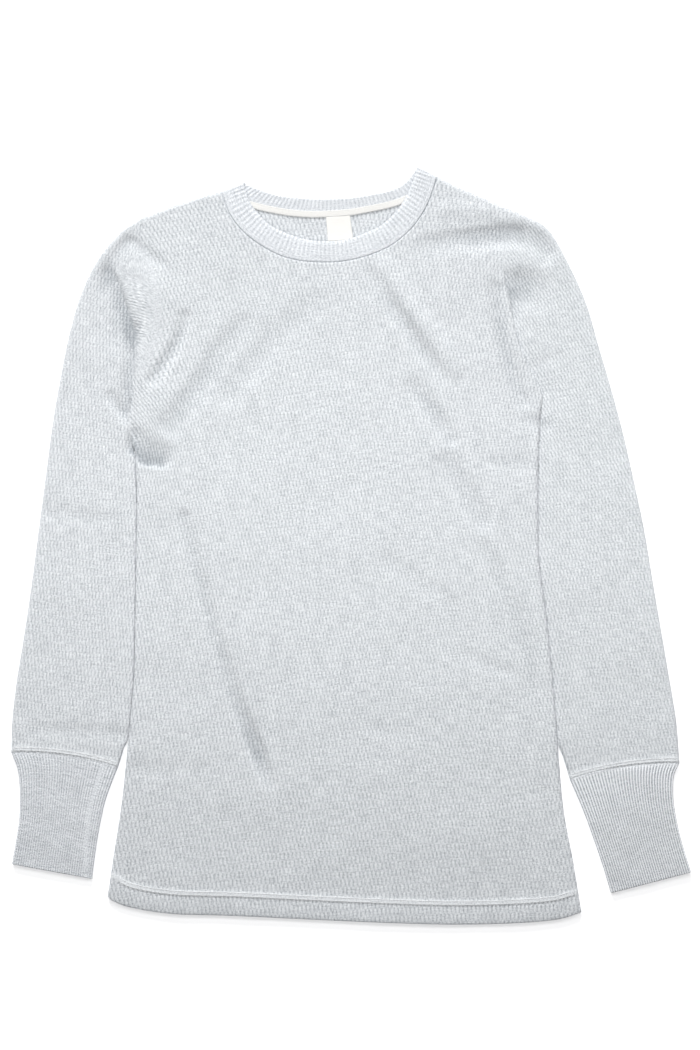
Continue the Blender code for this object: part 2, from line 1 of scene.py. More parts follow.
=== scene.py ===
"""The looks of a long-sleeved thermal knit top, laid flat with its front up.

Each piece of cloth is a thin shell on the form of its solid, with the knit's
raised floats, its creases and its sewing.

Tables and sizes are in millimetres. A point of the plan is (x, up): x to the
right from the middle of the whole width, up from the lowest point of the hem
towards the neck. "left" is the side at -X. The scene is in metres, +Y towards
the neck.
"""
from collections import namedtuple
from math import cos, pi, radians, sin

import bpy
import numpy as np
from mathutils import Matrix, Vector
from mathutils.geometry import delaunay_2d_cdt

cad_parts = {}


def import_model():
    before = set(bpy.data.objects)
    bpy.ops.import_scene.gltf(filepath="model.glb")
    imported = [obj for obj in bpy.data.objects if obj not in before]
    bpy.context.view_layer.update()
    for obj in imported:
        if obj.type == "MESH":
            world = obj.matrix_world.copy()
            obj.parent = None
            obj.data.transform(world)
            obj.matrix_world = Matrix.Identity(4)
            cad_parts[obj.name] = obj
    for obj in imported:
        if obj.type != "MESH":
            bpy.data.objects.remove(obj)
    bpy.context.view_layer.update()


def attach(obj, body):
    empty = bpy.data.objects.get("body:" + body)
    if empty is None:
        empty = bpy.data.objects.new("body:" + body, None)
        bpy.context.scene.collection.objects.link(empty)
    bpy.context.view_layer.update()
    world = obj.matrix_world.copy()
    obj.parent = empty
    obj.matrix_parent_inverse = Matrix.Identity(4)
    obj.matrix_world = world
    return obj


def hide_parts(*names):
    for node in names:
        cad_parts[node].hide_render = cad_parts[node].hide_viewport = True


MM = 0.001

# Cloth, and how it lies.
CLOTH = 2.0             # wall of the knit
LIE = 6.2               # height of the upper face where the top lies plain
LOWEST = 2.9            # of that face, in the deepest trough
HIGHEST = 11.0          # of that face, on the highest ridge
FOLD_LEVEL = LIE / 2    # where cloth turns over at a side, from over to under
ROLL = 3.2              # from a side in to where that turn has ended
CLOSE_ROLL_LESS = 1.7   # by how much less, where two sides lie against each other
CLOSE_GAP = 2.4         # a sleeve within this of the body's side is moved against it
CLOSE_FADE = 1.2        # and one further off by less than this, in part
CLOSE_LEFT = 0.1        # the gap left between them
LENGTH = 724.0          # from the hem's lowest point to the collar's highest

# The knit: short raised floats side by side in bands, each band half a pitch on.
PITCH = 3.38            # from float to float
BAND = 7.4              # length of a float
FLOAT_DEPTH = 0.6       # of the slits between floats
FLOAT_ENDS = 0.14       # share of a band over which a float's end sinks
FLOAT_LEAN = 0.12       # of a pitch, by which a float leans to the left over its length
FLOAT_UNEVEN = 0.35     # most by which a float is lower than the rest
FLOATS_ABOVE = 3.3      # height of the face from which floats are raised
EDGE_PLAIN = 1.6        # from a seam or side in, where floats are pressed flat
SEAM_PLAIN = 3.0        # the same beside a cuff's seam
GRAIN_UNIT = 100        # millimetres to one unit of a mesh's grain

# Ribs.
RIB_DEPTH = 0.75        # of the cuffs
COLLAR_RIB_DEPTH = 0.42
CUFF_RIBS = 35          # on the upper face of a cuff
COLLAR_RIBS = 61        # on the front half of the collar
COLLAR_BACK_RIBS = 50
COLLAR_PLAIN = 4.0      # smooth band of the collar next to the neck seam
COLLAR_RIM = 1.0        # by which its edge rounds out at the opening
COLLAR_ROWS = (0.0, 0.5, 1.1, 1.8, 2.6, 3.6, 4.8)   # its first rows of points, from the seam
RIB_COLUMNS = 4         # of points to a rib

# Seams sunk between their two pieces: height of the face there, and its reach.
NECK_SEAM_LEVEL = 4.2
NECK_SEAM_REACH = 1.3
ARMHOLE_LEFT_LEVEL = 6.1
ARMHOLE_LEFT_REACH = 1.2
ARMHOLE_RIGHT_LEVEL = 4.8
ARMHOLE_RIGHT_REACH = 2.6       # of the front, whose edge lies over the sleeve
ARMHOLE_RIGHT_RISE = 14.0       # of the sleeve, as it comes up out of the seam
ARMHOLE_RIGHT_END = 608.0       # up to where the front lies over, and fades out above
ARMHOLE_RIGHT_FADE = 22.0
LAP_RISE = 0.9          # of the front beside that edge
LAP_REACH = 16.0
CUFF_SEAM_LEVEL = 6.1
CUFF_SEAM_REACH = 0.6
CUFF_SEAM_BOW = 4.5     # the cuff seam's middle, towards the shoulder
CUFF_PUCKERS = 13       # of a sleeve, along that seam
CUFF_PUCKER_RISE = 0.35
CUFF_PUCKER_FADE = 7.0
CUFF_PUCKER_REACH = 26.0
SEWN_RISE = 0.2         # of a sleeve under its rows of sewing

TAPE_WIDTH = 6.2
TAPE_ENDS = (22.0, 24.0)        # kept back from the neck points, along the seam
TAPE_SECTION = [                # in halves of its width, and height
    (-0.98, 0.0), (-1.0, 0.4), (-0.94, 0.62), (-0.7, 0.65), (-0.4, 0.74), (0.0, 0.76),
    (0.4, 0.74), (0.7, 0.65), (0.94, 0.62), (1.0, 0.4), (0.98, 0.0), (0.0, 0.0),
]
REST_GAP = 0.3                  # under what lies on another piece

STRETCH = 24            # segments of a line that are measured at a time
POINT_STEP = 2.0        # between points along a cut edge
CLEAR_OF_EDGE = 1.0     # least distance of the knit's own points from that edge
CLEAR_OF_RING = 0.8     # and from a line of points inside it
ROLL_RINGS = (0.3, 0.9, 1.9, 3.2)       # lines of points inside a side that rolls
SEAM_RINGS = (0.5, 1.2, 2.2, 3.5)       # and inside a seam
LAP_RINGS = (0.4, 1.0, 1.8, 3.0)        # and at the right armhole, of the front
LAPPED_RINGS = (0.8, 2.5)               # and of the sleeve

# The body's two sides, from the hem (share 0) to the armpits (share 1).
SIDES = [
    (0.0, -231.0, 219.5), (0.1, -224.7, 211.8), (0.2, -218.2, 202.9), (0.3, -213.5, 198.3),
    (0.4, -209.3, 194.8), (0.5, -205.8, 190.6), (0.6, -205.0, 185.6), (0.7, -204.2, 179.4),
    (0.8, -203.6, 178.4), (0.9, -203.2, 178.8), (1.0, -205.0, 181.0),
]
ARMPIT_LEFT = (-205.0, 452.0)
ARMPIT_RIGHT = (181.0, 490.0)
HEM = [(-231, 28), (-224, 23), (-206, 17), (-168, 11.5), (-106, 9.5), (0, 4.5),
       (90, 1.5), (150, 2.5), (195, 6), (219.5, 13)]
BACK_HEM_SHORTER = 1.0
BACK_HEM_GROOVE = 0.7   # its depth where it is sewn
BACK_HEM_SEWN = 17.7    # from its edge
BACK_EDGE_FLAT = 14.0   # from the back's edge in, to where its creases have their full height

ARMHOLE_LEFT = [ARMPIT_LEFT, (-210, 475), (-209, 501), (-204.5, 525), (-196.5, 541.5),
                (-190.5, 557), (-187.2, 579.5), (-187.7, 601), (-193, 622), (-198, 640),
                (-199.5, 656), (-197, 673.5)]
ARMHOLE_RIGHT = [ARMPIT_RIGHT, (182, 506), (170, 532), (160, 556), (154, 582), (148, 610),
                 (145, 625), (146, 640), (149, 654), (154, 669), (159.5, 678)]
SHOULDER_LEFT = [(-197, 673.5), (-179, 680.5), (-151.5, 690), (-123.5, 698.5)]
SHOULDER_RIGHT = [(82.5, 712), (108.8, 699.5), (134, 688.8), (159.5, 678)]

NECK_LEFT = (-123.5, 698.5)
NECK_RIGHT = (82.5, 712.0)
NECK_SEAM_FRONT = [NECK_LEFT, (-115, 677), (-104, 662), (-90, 650), (-70, 638.5), (-49, 632.5),
                   (-24, 630.8), (-3, 632.3), (18, 637.7), (38, 646.5), (56, 661), (67, 675),
                   (75, 690), NECK_RIGHT]
NECK_SEAM_BACK = [NECK_LEFT, (-112, 692), (-97, 686.5), (-80, 682), (-59, 678.2), (-38.5, 676.5),
                  (-19, 677), (0, 678.5), (14, 681), (34, 685), (50, 690), (66, 698.5), NECK_RIGHT]
NECK_MIDDLE = (-20.0, 690.0)
OPENING_LEFT = (-102.0, 707.0)
OPENING_RIGHT = (64.5, 722.5)
OPENING_FRONT = [OPENING_LEFT, (-98.5, 695), (-94, 685.5), (-87, 676.5), (-76, 665.8), (-56, 656.5),
                 (-38.5, 652), (-19.5, 650.8), (-3, 652.8), (14, 658.6), (30.5, 667), (44.5, 680.7),
                 (52.7, 693), (59.5, 708), OPENING_RIGHT]
OPENING_BACK = [OPENING_LEFT, (-94, 703), (-83, 698.8), (-68.5, 694.8), (-49, 692.2), (-24, 691.4),
                (-1, 692.4), (14, 694.5), (34, 698.5), (44.5, 702), (51, 706), (57, 712),
                OPENING_RIGHT]

LABEL_CORNERS = ((-23.3, 674.0), (-0.5, 675.5), (2.8, 651.8), (-21.4, 650.8))

# Sections across a sleeve, from the armpit side to the outer side.
SLEEVE_LEFT = [
    (*ARMHOLE_LEFT[0], *ARMHOLE_LEFT[-1]),
    (-206.0, 449.5, -220.0, 658.0), (-206.3, 445.5, -240.5, 633.0), (-206.1, 438.5, -256.0, 601.0),
    (-205.6, 427.0, -267.5, 562.0), (-205.2, 408.0, -276.0, 520.0), (-205.0, 380.0, -283.5, 476.0),
    (-205.2, 345.0, -290.0, 426.0), (-206.0, 308.0, -296.5, 377.0), (-206.8, 268.0, -303.0, 327.0),
    (-208.5, 228.0, -309.5, 282.0), (-212.2, 188.0, -317.0, 236.0), (-216.0, 167.0, -321.5, 198.0),
    (-221.0, 150.5, -322.7, 165.0),
]
SLEEVE_RIGHT = [
    (*ARMHOLE_RIGHT[0], *ARMHOLE_RIGHT[-1]),
    (181.6, 487.0, 187.0, 663.0), (181.4, 482.0, 207.0, 630.0), (180.7, 474.0, 224.0, 592.0),
    (180.0, 462.0, 236.0, 551.0), (179.6, 443.0, 248.0, 510.0), (179.6, 415.0, 259.0, 469.0),
    (179.9, 380.0, 269.0, 425.0), (181.6, 340.0, 279.0, 378.0), (186.8, 300.0, 287.0, 330.0),
    (191.2, 258.0, 295.0, 283.0), (195.2, 214.0, 302.5, 239.0), (199.5, 172.0, 309.5, 196.0),
    (208.5, 139.0, 312.8, 155.0),
]
CUFF_LEFT = [
    SLEEVE_LEFT[-1], (-227.3, 135.0, -316.8, 149.5), (-233.7, 116.0, -314.6, 129.2),
    (-239.0, 91.0, -315.0, 103.5), (-242.7, 67.5, -318.3, 79.8), (-245.6, 45.0, -322.0, 59.0),
]
CUFF_RIGHT = [
    SLEEVE_RIGHT[-1], (216.6, 120.7, 307.6, 141.6), (224.2, 101.7, 307.1, 121.6),
    (231.3, 81.7, 310.2, 100.7), (238.5, 60.8, 315.4, 78.9), (247.5, 31.4, 323.8, 51.3),
]


class Fold:
    """A fold in a face: its line, how far it reaches to each side, and its rises.

    The rises are spread evenly along the line, and make a trough where they are
    below zero, else a ridge. Left and right are as one looks along the line.
    """

    def __init__(self, line, left, right, *rises):
        self.line, self.left, self.right, self.rises = line, left, right, rises


# Folds in the upper face.
FOLDS = [
    # under the right shoulder, and on round the right sleeve head
    Fold([(72, 648), (96, 652), (130, 656), (150, 657.5), (166, 656), (180, 649), (188, 641)],
         12, 17, -1.4, -2.7, -3.8, -3.5, -2.0),
    Fold([(88, 681), (130, 679), (158, 672)], 10, 12, 0.9, 1.4),
    Fold([(104, 626), (138, 630), (154, 632), (168, 628), (180, 617), (186, 604)],
         20, 24, 0.0, 1.4, 2.2),
    Fold([(141, 606), (144, 575), (149, 545), (156, 520), (165, 498)], 7, 14,
         -1.6, -3.2, -3.2, -2.0),
    Fold([(168, 482), (186, 477)], 11, 12, -0.8, -1.0),
    Fold([(134, 442), (164, 440)], 11, 13, -0.5, -0.5),
    Fold([(167, 530), (200, 541.5)], 7, 7, -0.6, -0.6),
    # right chest and waist
    Fold([(34, 626), (54.5, 592.7), (76, 562), (99, 530)], 15, 15, 1.8, 3.1, 3.0, 1.6),
    Fold([(23, 617.5), (43.5, 584), (65, 553.5), (88, 521.5)], 11, 13, -0.9, -2.5, -2.5, -1.0),
    Fold([(60, 513), (77, 490), (95, 463)], 13, 13, -1.6, -2.8, -1.8),
    Fold([(92, 440), (124, 386)], 16, 16, -1.8, -1.9),
    Fold([(128, 358), (148, 318), (163, 273), (174, 229), (182, 189)], 12, 13,
         -1.0, -1.9, -1.9, -1.4, -0.2),
    Fold([(36, 346), (71, 321)], 14, 14, -1.0, -0.6),
    Fold([(82, 320), (96, 302), (100, 284)], 12, 12, -0.6, -1.0, -0.3),
    Fold([(104, 258), (150, 240)], 10, 10, -0.4, -0.9),
    Fold([(20, 188), (64, 180)], 11, 11, -0.6, -0.3),
    Fold([(-20, 526), (-16, 522)], 16, 16, -0.8, -0.8),
    # left chest, drawn to the armpit
    Fold([(-157, 579), (-161, 561), (-174, 539), (-188, 519)], 9, 9, -1.6, -3.0, -2.2),
    Fold([(-105, 570), (-124, 547), (-137, 525), (-151, 506), (-165, 487), (-173, 478)],
         21, 14, -1.8, -2.6, -2.2),
    Fold([(-206, 450), (-197, 440), (-184, 439)], 30, 3.2, -4.0, -5.2, -4.6),
    Fold([(-205, 470), (-207, 452)], 9, 9, -1.2, -1.2),
    Fold([(-36, 592), (-72, 560), (-88, 540), (-106, 521), (-114, 507)], 20, 20, -1.3, -1.8),
    # left waist to hip
    Fold([(-158, 388), (-148, 349), (-138, 309), (-126, 269), (-112.5, 225), (-102, 197),
          (-91.5, 172), (-78, 138)], 11, 12,
         -1.6, -1.8, -2.0, -2.1, -2.2, -2.4, -2.6, -3.0, -4.0, -5.2, -1.4),
    Fold([(-208, 149), (-143, 149)], 12, 12, -0.5, -0.5),
    # over the left sleeve head, and its crease
    Fold([(-208, 651), (-197, 643), (-181, 630)], 8, 8, -1.2, -1.6),
    Fold([(-212, 650), (-223, 636), (-231, 618), (-235, 606)], 11, 8, -2.0, -1.6),
    Fold([(-215, 634), (-204, 624)], 12, 12, 0.8, 0.8),
    Fold([(-190, 604), (-172, 600)], 27, 40, 2.4, 1.6),
    Fold([(-228, 621), (-221, 612), (-215, 592), (-206.5, 566)], 4, 15, -1.8, -3.0, -3.6),
    Fold([(-206.5, 566), (-205.5, 553), (-208.5, 520), (-211.5, 490)], 5, 13, -4.0, -3.4),
    Fold([(-226, 618), (-221, 608), (-215, 590), (-207.5, 566)], 4, 36, -1.4, -3.0),
    Fold([(-228, 503), (-214, 482)], 8, 8, -1.8, -1.5),
    # left sleeve
    Fold([(-288, 393), (-227, 385)], 12, 12, -0.7, -0.7),
    Fold([(-300, 186), (-240, 184), (-212, 181)], 11, 12, -0.6, -0.8),
]
# The hollow of the right sleeve, beside the edge of the front that lies over it.
HOLLOW = Fold([(142, 582), (149, 599), (165, 607), (180, 604)], 24, 26, -3.6, -5.0, -3.6)
# Where painted shade darkens the cloth's colour at the armpits, more than its folds make it dark.
PAINTED_SHADE_FOLDS = [
    Fold([(-205, 449), (-197, 440), (-184, 439)], 14, 7, -2.2, -3.2, -2.2),
    Fold([(168, 483), (186, 478)], 10, 9, -1.2, -2.2),
    Fold([(134, 443), (164, 441)], 9, 8, -1.4, -1.4),
]
# The back's own creases, where it is lifted off the surface that it lies on.
BACK_FOLDS = [
    Fold([(-150, 620), (-60, 560)], 14, 18, 1.0, 0.7),
    Fold([(120, 600), (60, 540)], 14, 12, 0.9, 0.6),
    Fold([(-190, 440), (-120, 470)], 12, 12, 1.2, 0.5),
    Fold([(165, 470), (110, 500)], 12, 14, 1.1, 0.5),
    Fold([(-130, 330), (-90, 180)], 12, 18, 0.5, 1.2),
    Fold([(60, 420), (95, 300)], 16, 16, 0.8, 0.7),
    Fold([(20, 250), (60, 140)], 18, 14, 0.6, 0.9),
    Fold([(-40, 480), (30, 460)], 16, 16, 0.6, 0.5),
]

# Long shallow waves in cloth that lies loose: length, direction, height, start.
Wave = namedtuple("Wave", "length turned rise start")
WAVES = [
    Wave(146, 20, 0.16, 0.3), Wave(118, 75, 0.14, 1.9), Wave(91, 140, 0.12, 4.0),
    Wave(74, 100, 0.10, 2.2), Wave(63, 8, 0.08, 5.1), Wave(43, 60, 0.06, 0.9),
    Wave(37, 125, 0.05, 3.3), Wave(31, 160, 0.04, 1.1),
]

# Height of the turned-up hem over the plain face, from its edge inwards.
HEM_RELIEF = [(0.0, -0.3), (0.6, 0.0), (1.8, 0.2), (4.0, 0.3), (9.0, 0.35), (13.0, 0.2),
              (16.3, 0.1), (16.8, 0.05), (17.4, 0.3), (18.4, 0.5), (21.4, 0.55), (22.3, 0.4),
              (23.2, 0.1), (25.0, 0.0)]
HEM_RINGS = (0.6, 1.8, 4.0, 13.0, 15.0, 16.3, 16.8, 17.4, 18.4, 20.0, 21.4, 22.3, 23.2)
HEM_BAND = (17.4, 22.4)         # under the rows of sewing
CUFF_BAND = (1.0, 5.2)
HEM_ROWS = (18.9, 22.1)         # of sewing, from the hem's edge
CUFF_ROWS = (1.9, 4.4)          # from a cuff's seam
TAPE_ROWS = (-2.2, 2.2)         # from the tape's middle
# A thread of the sewing: place along it, thickness, and lift in its radii.
THREAD_PROFILE = [(-0.5, 0.45, -0.5), (-0.32, 0.95, 0.1), (0.0, 1.0, 0.25), (0.32, 0.95, 0.1),
                  (0.5, 0.45, -0.5)]
THREAD_SIDES = 6
# The side seam of the left cuff, which has come round to the upper face.
CUFF_SIDE_SEAM = [(-235, 152), (-242.3, 129.2), (-249.6, 102.6), (-251.7, 57), (-252, 40)]
CUFF_SIDE_SEAM_REACH = 4.5

# Painted shade: how dark the cloth's colour is made in a trough. It grows fast where the trough is
# deep.
TROUGH_DEEPEST = 6.5
TROUGH_FAINT = 2.5
# Painted light: by this the cloth's colour is made lighter under the rows of sewing.
SEWN_LIGHTER = 2.0      # under the rows of sewing, which catch the light


# ---- curves of the plan

def smooth(points, steps=12):
    """Points with more between them, on a smooth curve through all."""
    rows = np.array(points, float)
    ends = np.vstack([2 * rows[0] - rows[1], rows, 2 * rows[-1] - rows[-2]])
    t = (np.arange(steps) / steps)[None, :, None]
    before, start, end, after = ends[:-3, None], ends[1:-2, None], ends[2:-1, None], ends[3:, None]
    curve = ((-t + 2 * t**2 - t**3) * before + (2 - 5 * t**2 + 3 * t**3) * start
             + (t + 4 * t**2 - 3 * t**3) * end + (t**3 - t**2) * after) / 2
    return np.vstack([curve.reshape(-1, rows.shape[1]), rows[-1:]])


def sections_of(table):
    """The sections across a sleeve or cuff, with more between them."""
    return smooth(table, 6)


def runs(line):
    """Distance along a line to each of its points."""
    return np.concatenate([[0.0], np.cumsum(np.linalg.norm(np.diff(line, axis=0), axis=1))])


def at_distances(line, distances):
    run = runs(line)
    return np.stack([np.interp(distances, run, column) for column in line.T], axis=1)


def in_steps(line, steps):
    """A line in a set number of even steps."""
    return at_distances(line, np.linspace(0, runs(line)[-1], steps + 1))


def spaced(line, step=POINT_STEP):
    return in_steps(line, max(1, round(runs(line)[-1] / step)))


def unit(vectors):
    """Vectors the same way, of length 1, or of none if they had none."""
    return vectors / np.maximum(np.linalg.norm(vectors, axis=1, keepdims=True), 1e-9)


def leftwards(heading):
    """Vectors turned a quarter round to the left, and made level."""
    turned = np.zeros_like(heading)
    turned[:, 0], turned[:, 1] = -heading[:, 1], heading[:, 0]
    return turned


def shifted(line, distance):
    """A line moved sideways, to its left-hand side."""
    return line + distance * leftwards(unit(np.gradient(line, axis=0)))


def closed(line):
    """A line that ends at its first point."""
    return np.vstack([line, line[:1]])


Nearness = namedtuple("Nearness", "distance share side")


def to_line(points, line, reach=1e9):
    """How far points lie from a line, how far along it, and on which side: 1 is left.

    Points further than reach may be left at a great distance.
    """
    distance, share, side = np.full(len(points), 1e9), np.zeros(len(points)), np.ones(len(points))
    step = np.diff(line, axis=0)
    square = np.maximum((step**2).sum(axis=1), 1e-12)
    run = runs(line)
    for first in range(0, len(step), STRETCH):
        corners = line[first:first + STRETCH + 1]
        low, high = corners.min(0) - reach, corners.max(0) + reach
        near = np.flatnonzero(((points >= low) & (points <= high)).all(axis=1))
        if not len(near):
            continue
        part = slice(first, first + STRETCH)
        offset = points[near][:, None] - corners[:-1]
        along = np.clip((offset * step[part]).sum(axis=2) / square[part], 0, 1)
        gap = offset - along[..., None] * step[part]
        best = (gap**2).sum(axis=2).argmin(axis=1)
        rows = np.arange(len(near))
        gap, along, best = gap[rows, best], along[rows, best], best + first
        span = np.linalg.norm(gap, axis=1)
        closer = span < distance[near]
        near, gap, along, best, span = (a[closer] for a in (near, gap, along, best, span))
        distance[near] = span
        share[near] = (run[best] + along * np.sqrt(square[best])) / run[-1]
        cross = step[best, 0] * gap[:, 1] - step[best, 1] * gap[:, 0]
        side[near] = cross / np.maximum(np.sqrt(square[best]) * span, 1e-9)
    return Nearness(distance, share, side)


def inside(points, outline):
    """Which points lie within a closed outline."""
    found = np.zeros(len(points), bool)
    loop = closed(outline)
    for first in range(0, len(outline), STRETCH):
        corners = loop[first:first + STRETCH + 1]
        level = np.flatnonzero((points[:, 1] >= corners[:, 1].min())
                               & (points[:, 1] <= corners[:, 1].max())
                               & (points[:, 0] <= corners[:, 0].max()))
        x, up = points[level, 0, None], points[level, 1, None]
        start, end = corners[:-1], corners[1:]
        crosses = (start[:, 1] > up) != (end[:, 1] > up)
        slope = np.where(end[:, 1] == start[:, 1], 1, end[:, 1] - start[:, 1])
        edge_x = start[:, 0] + (up - start[:, 1]) * (end[:, 0] - start[:, 0]) / slope
        found[level] ^= (crosses & (x < edge_x)).sum(axis=1) % 2 == 1
    return found


def eased(share):
    """0 to 1 with a soft start and end."""
    share = np.clip(share, 0, 1)
    return share * share * (3 - 2 * share)


def grown(value, start, end):
    """0 where a value is at its start, eased to 1 at its end."""
    return eased((value - start) / (end - start))


def rolled(share):
    """Height of a quarter round: 0 at its edge, 1 from its reach on."""
    return np.sqrt(1 - (1 - np.clip(share, 0, 1))**2)


def side_line(column):
    """A side of the body, from the hem to the armpit."""
    hem_up = HEM[0][1] if column == 1 else HEM[-1][1]
    armpit_up = (ARMPIT_LEFT if column == 1 else ARMPIT_RIGHT)[1]
    curve = smooth([(row[0], row[column]) for row in SIDES])
    return np.stack([curve[:, 1], hem_up + (armpit_up - hem_up) * curve[:, 0]], axis=1)


HEM_LINE = smooth(HEM)
SIDE_LEFT_LINE, SIDE_RIGHT_LINE = side_line(1), side_line(2)
ARMHOLE_LEFT_LINE, ARMHOLE_RIGHT_LINE = smooth(ARMHOLE_LEFT), smooth(ARMHOLE_RIGHT)
SHOULDER_LEFT_LINE, SHOULDER_RIGHT_LINE = smooth(SHOULDER_LEFT), smooth(SHOULDER_RIGHT)
NECK_FRONT_LINE, NECK_BACK_LINE = smooth(NECK_SEAM_FRONT), smooth(NECK_SEAM_BACK)
BODY_FOLDS = [SIDE_LEFT_LINE, SIDE_RIGHT_LINE, SHOULDER_LEFT_LINE, SHOULDER_RIGHT_LINE]
OUTER_LINES = [SHOULDER_LEFT_LINE, SHOULDER_RIGHT_LINE,
               sections_of(SLEEVE_LEFT)[:, 2:], sections_of(SLEEVE_RIGHT)[:, 2:]]
# Where the sleeve's cloth folds over itself, beside the left armhole.
SLEEVE_CREASE = smooth([(-194.3, 642.2), (-214.2, 630.8), (-220.9, 618.4), (-213.8, 597.5),
                        (-205.7, 561.4), (-203.8, 552.9), (-205.7, 530.1)])
CRESCENT_OUTLINE = np.vstack([SLEEVE_CREASE, ARMHOLE_LEFT_LINE[
    (ARMHOLE_LEFT_LINE[:, 1] > 530) & (ARMHOLE_LEFT_LINE[:, 1] < 642)] + (3, 0)])


# ---- the knit's grain: (s, t), across and along the floats, of a point of the plan

def eased_run(share):
    """How far eased has run: it starts flat and ends at a slope of 1."""
    held = np.clip(share, 0, 1)
    return held**3 - held**4 / 2 + np.maximum(share - 1, 0)


def body_grain(points):
    x, up = points.T
    # The columns stand closest at the waist, and spread to the hem and the shoulders.
    spread = (1 + 0.15 * grown(up, 360, 30) + 0.0004 * np.maximum(up - 400, 0)
              + 0.0016 / 230 * np.maximum(up - 560, 0)**2)
    sway = 6.6 * np.cos(pi * (up - 60) / 520)
    # They are drawn aside at the left armpit and beside the right armhole.
    s = (x - sway) / spread
    s += 0.45 * (up - 495) * np.exp(-((x + 200) / 26)**2 - ((up - 495) / 50)**2)
    s += 0.2 * (up - 575) * np.exp(-((x - 155) / 40)**2 - ((up - 575) / 36)**2)
    # The courses rise to the right below, and arch over the chest and shoulders.
    arch = 0.0003 + 0.0014 * grown(up, 330, 630)
    slope = 0.085 - 0.05 * grown(up, 480, 640) - 0.03 * grown(up, 240, 40)
    t = up + 0.16 * np.maximum(up - 490, 0)**2 / 300 - slope * x + arch * x**2 / 2
    return np.stack([s, t], axis=1)


def sleeve_left_grain(points):
    x, up = points.T
    lean = 0.15 * up + 0.0005 * np.maximum(up - 480, 0)**2
    tilt = 0.10 + 0.0013 * np.maximum(up - 430, 0)
    return np.stack([x - lean, up + tilt * (x + 250)], axis=1)


CRESCENT_WIDE = 20.0    # a float there is drawn as long as this
CRESCENT_LEAN = -0.55
CRESCENT_CLOSE = 1.1    # how much closer its floats stand


def crescent_grain(points):
    """Of the sleeve's cloth between its crease and the left armhole."""
    near = to_line(points, SLEEVE_CREASE)
    run = near.share * runs(SLEEVE_CREASE)[-1]
    return np.stack([(run + CRESCENT_LEAN * near.distance) * CRESCENT_CLOSE,
                     near.distance * BAND / CRESCENT_WIDE], axis=1)


def crescent_places(wanted):
    """The plan points of a grain there."""
    away = wanted[:, 1] / BAND * CRESCENT_WIDE
    run = wanted[:, 0] / CRESCENT_CLOSE - CRESCENT_LEAN * away
    good = (run > 0) & (run < runs(SLEEVE_CREASE)[-1]) & (away > 0) & (away < CRESCENT_WIDE)
    run, away = run[good], away[good, None]
    ahead, behind = (at_distances(SLEEVE_CREASE, run + step) for step in (0.5, -0.5))
    return at_distances(SLEEVE_CREASE, run) + leftwards(unit(ahead - behind)) * away


# A part of a piece with another grain than the rest, its inner edge and its outline.
Patch = namedtuple("Patch", "grain edge outline")
CRESCENT = Patch(crescent_grain, SLEEVE_CREASE, CRESCENT_OUTLINE)


def sleeve_right_grain(points):
    x, up = points.T
    lean = 0.10 * up + 48 * eased_run((up - 290) / 200) + 0.0015 * np.maximum(up - 590, 0)**2
    tilt = 0.02 + 0.0011 * np.maximum(up - 300, 0)
    return np.stack([x + lean, up - tilt * (x - 235)], axis=1)


def grid_of(grain, outline):
    """The plan points of the knit's own grid that lie near an outline."""
    corners = grain(np.vstack([outline, outline.mean(0)]))
    low, high = corners.min(0) - 5 * PITCH, corners.max(0) + 5 * PITCH
    columns = np.arange(np.floor(low[0] / PITCH * 2), np.ceil(high[0] / PITCH * 2)) * PITCH / 2
    bands = np.arange(np.floor(low[1] / BAND), np.ceil(high[1] / BAND))
    rows = (bands[:, None] + np.array([FLOAT_ENDS, 0.5, 1 - FLOAT_ENDS])).ravel() * BAND
    wanted = np.stack(np.meshgrid(columns, rows), axis=-1).reshape(-1, 2)
    if grain is crescent_grain:
        return crescent_places(wanted)
    found = wanted.copy()
    for _ in range(40):
        found += wanted - grain(found)
    return found


def chance_of(column, band):
    """A number from 0 to 1 for each float, as if by chance and always the same."""
    chance = np.sin(column * 12.9898 + band * 78.233) * 43758.5453
    return chance - np.floor(chance)


def float_height(grain):
    """Of the knit's floats: 0 in the slits between them, 1 on top, and between at their ends."""
    s, t = grain.T
    band = np.floor(t / BAND)
    along = t / BAND - band
    across = s / PITCH + 0.5 * (band % 2) + FLOAT_LEAN * (along - 0.5)
    wave = np.cos(2 * pi * across) * eased(np.minimum(along, 1 - along) / FLOAT_ENDS)
    chance = chance_of(np.floor(across + 0.5), band)
    return 0.5 + 0.5 * wave * (1 - FLOAT_UNEVEN * chance * (wave > 0))


# ---- how the cloth lies

def fold_rise(points, folds):
    """How far folds lift the face at points of the plan."""
    rise = np.zeros(len(points))
    for fold in folds:
        near = to_line(points, smooth(fold.line, 6), max(fold.left, fold.right))
        reach = fold.right + (fold.left - fold.right) * (near.side + 1) / 2
        across = np.minimum(near.distance / reach, 1)
        rises = np.interp(near.share, np.linspace(0, 1, len(fold.rises)), fold.rises)
        rise += rises * (1 - across**2)**2
    return rise


def wave_rise(points):
    rise = np.zeros(len(points))
    for wave in WAVES:
        turn = radians(wave.turned)
        run = points @ (cos(turn), sin(turn))
        rise += wave.rise * np.sin(2 * pi / wave.length * run + wave.start)
    return rise


def lie(points, folds=FOLDS):
    """Height of the upper face, with its folds, away from seams and sides."""
    rise = fold_rise(points, folds)
    room = np.where(rise > 0, HIGHEST - LIE, LIE - LOWEST)
    return LIE + rise / (1 + (rise / room)**4)**0.25 + wave_rise(points)


def sunk(height, points, line, level, reach):
    """The face sunk to a level at a seam."""
    distance = to_line(points, line, reach).distance
    return level + (height - level) * rolled(distance / reach)


def joined(height, points):
    """The face sunk a little at the left armhole, but for where the cloth is drawn smooth."""
    sunken = sunk(height, points, ARMHOLE_LEFT_LINE, ARMHOLE_LEFT_LEVEL, ARMHOLE_LEFT_REACH)
    up = points[:, 1]
    return sunken + (height - sunken) * grown(up, 500, 530) * (1 - grown(up, 635, 655))


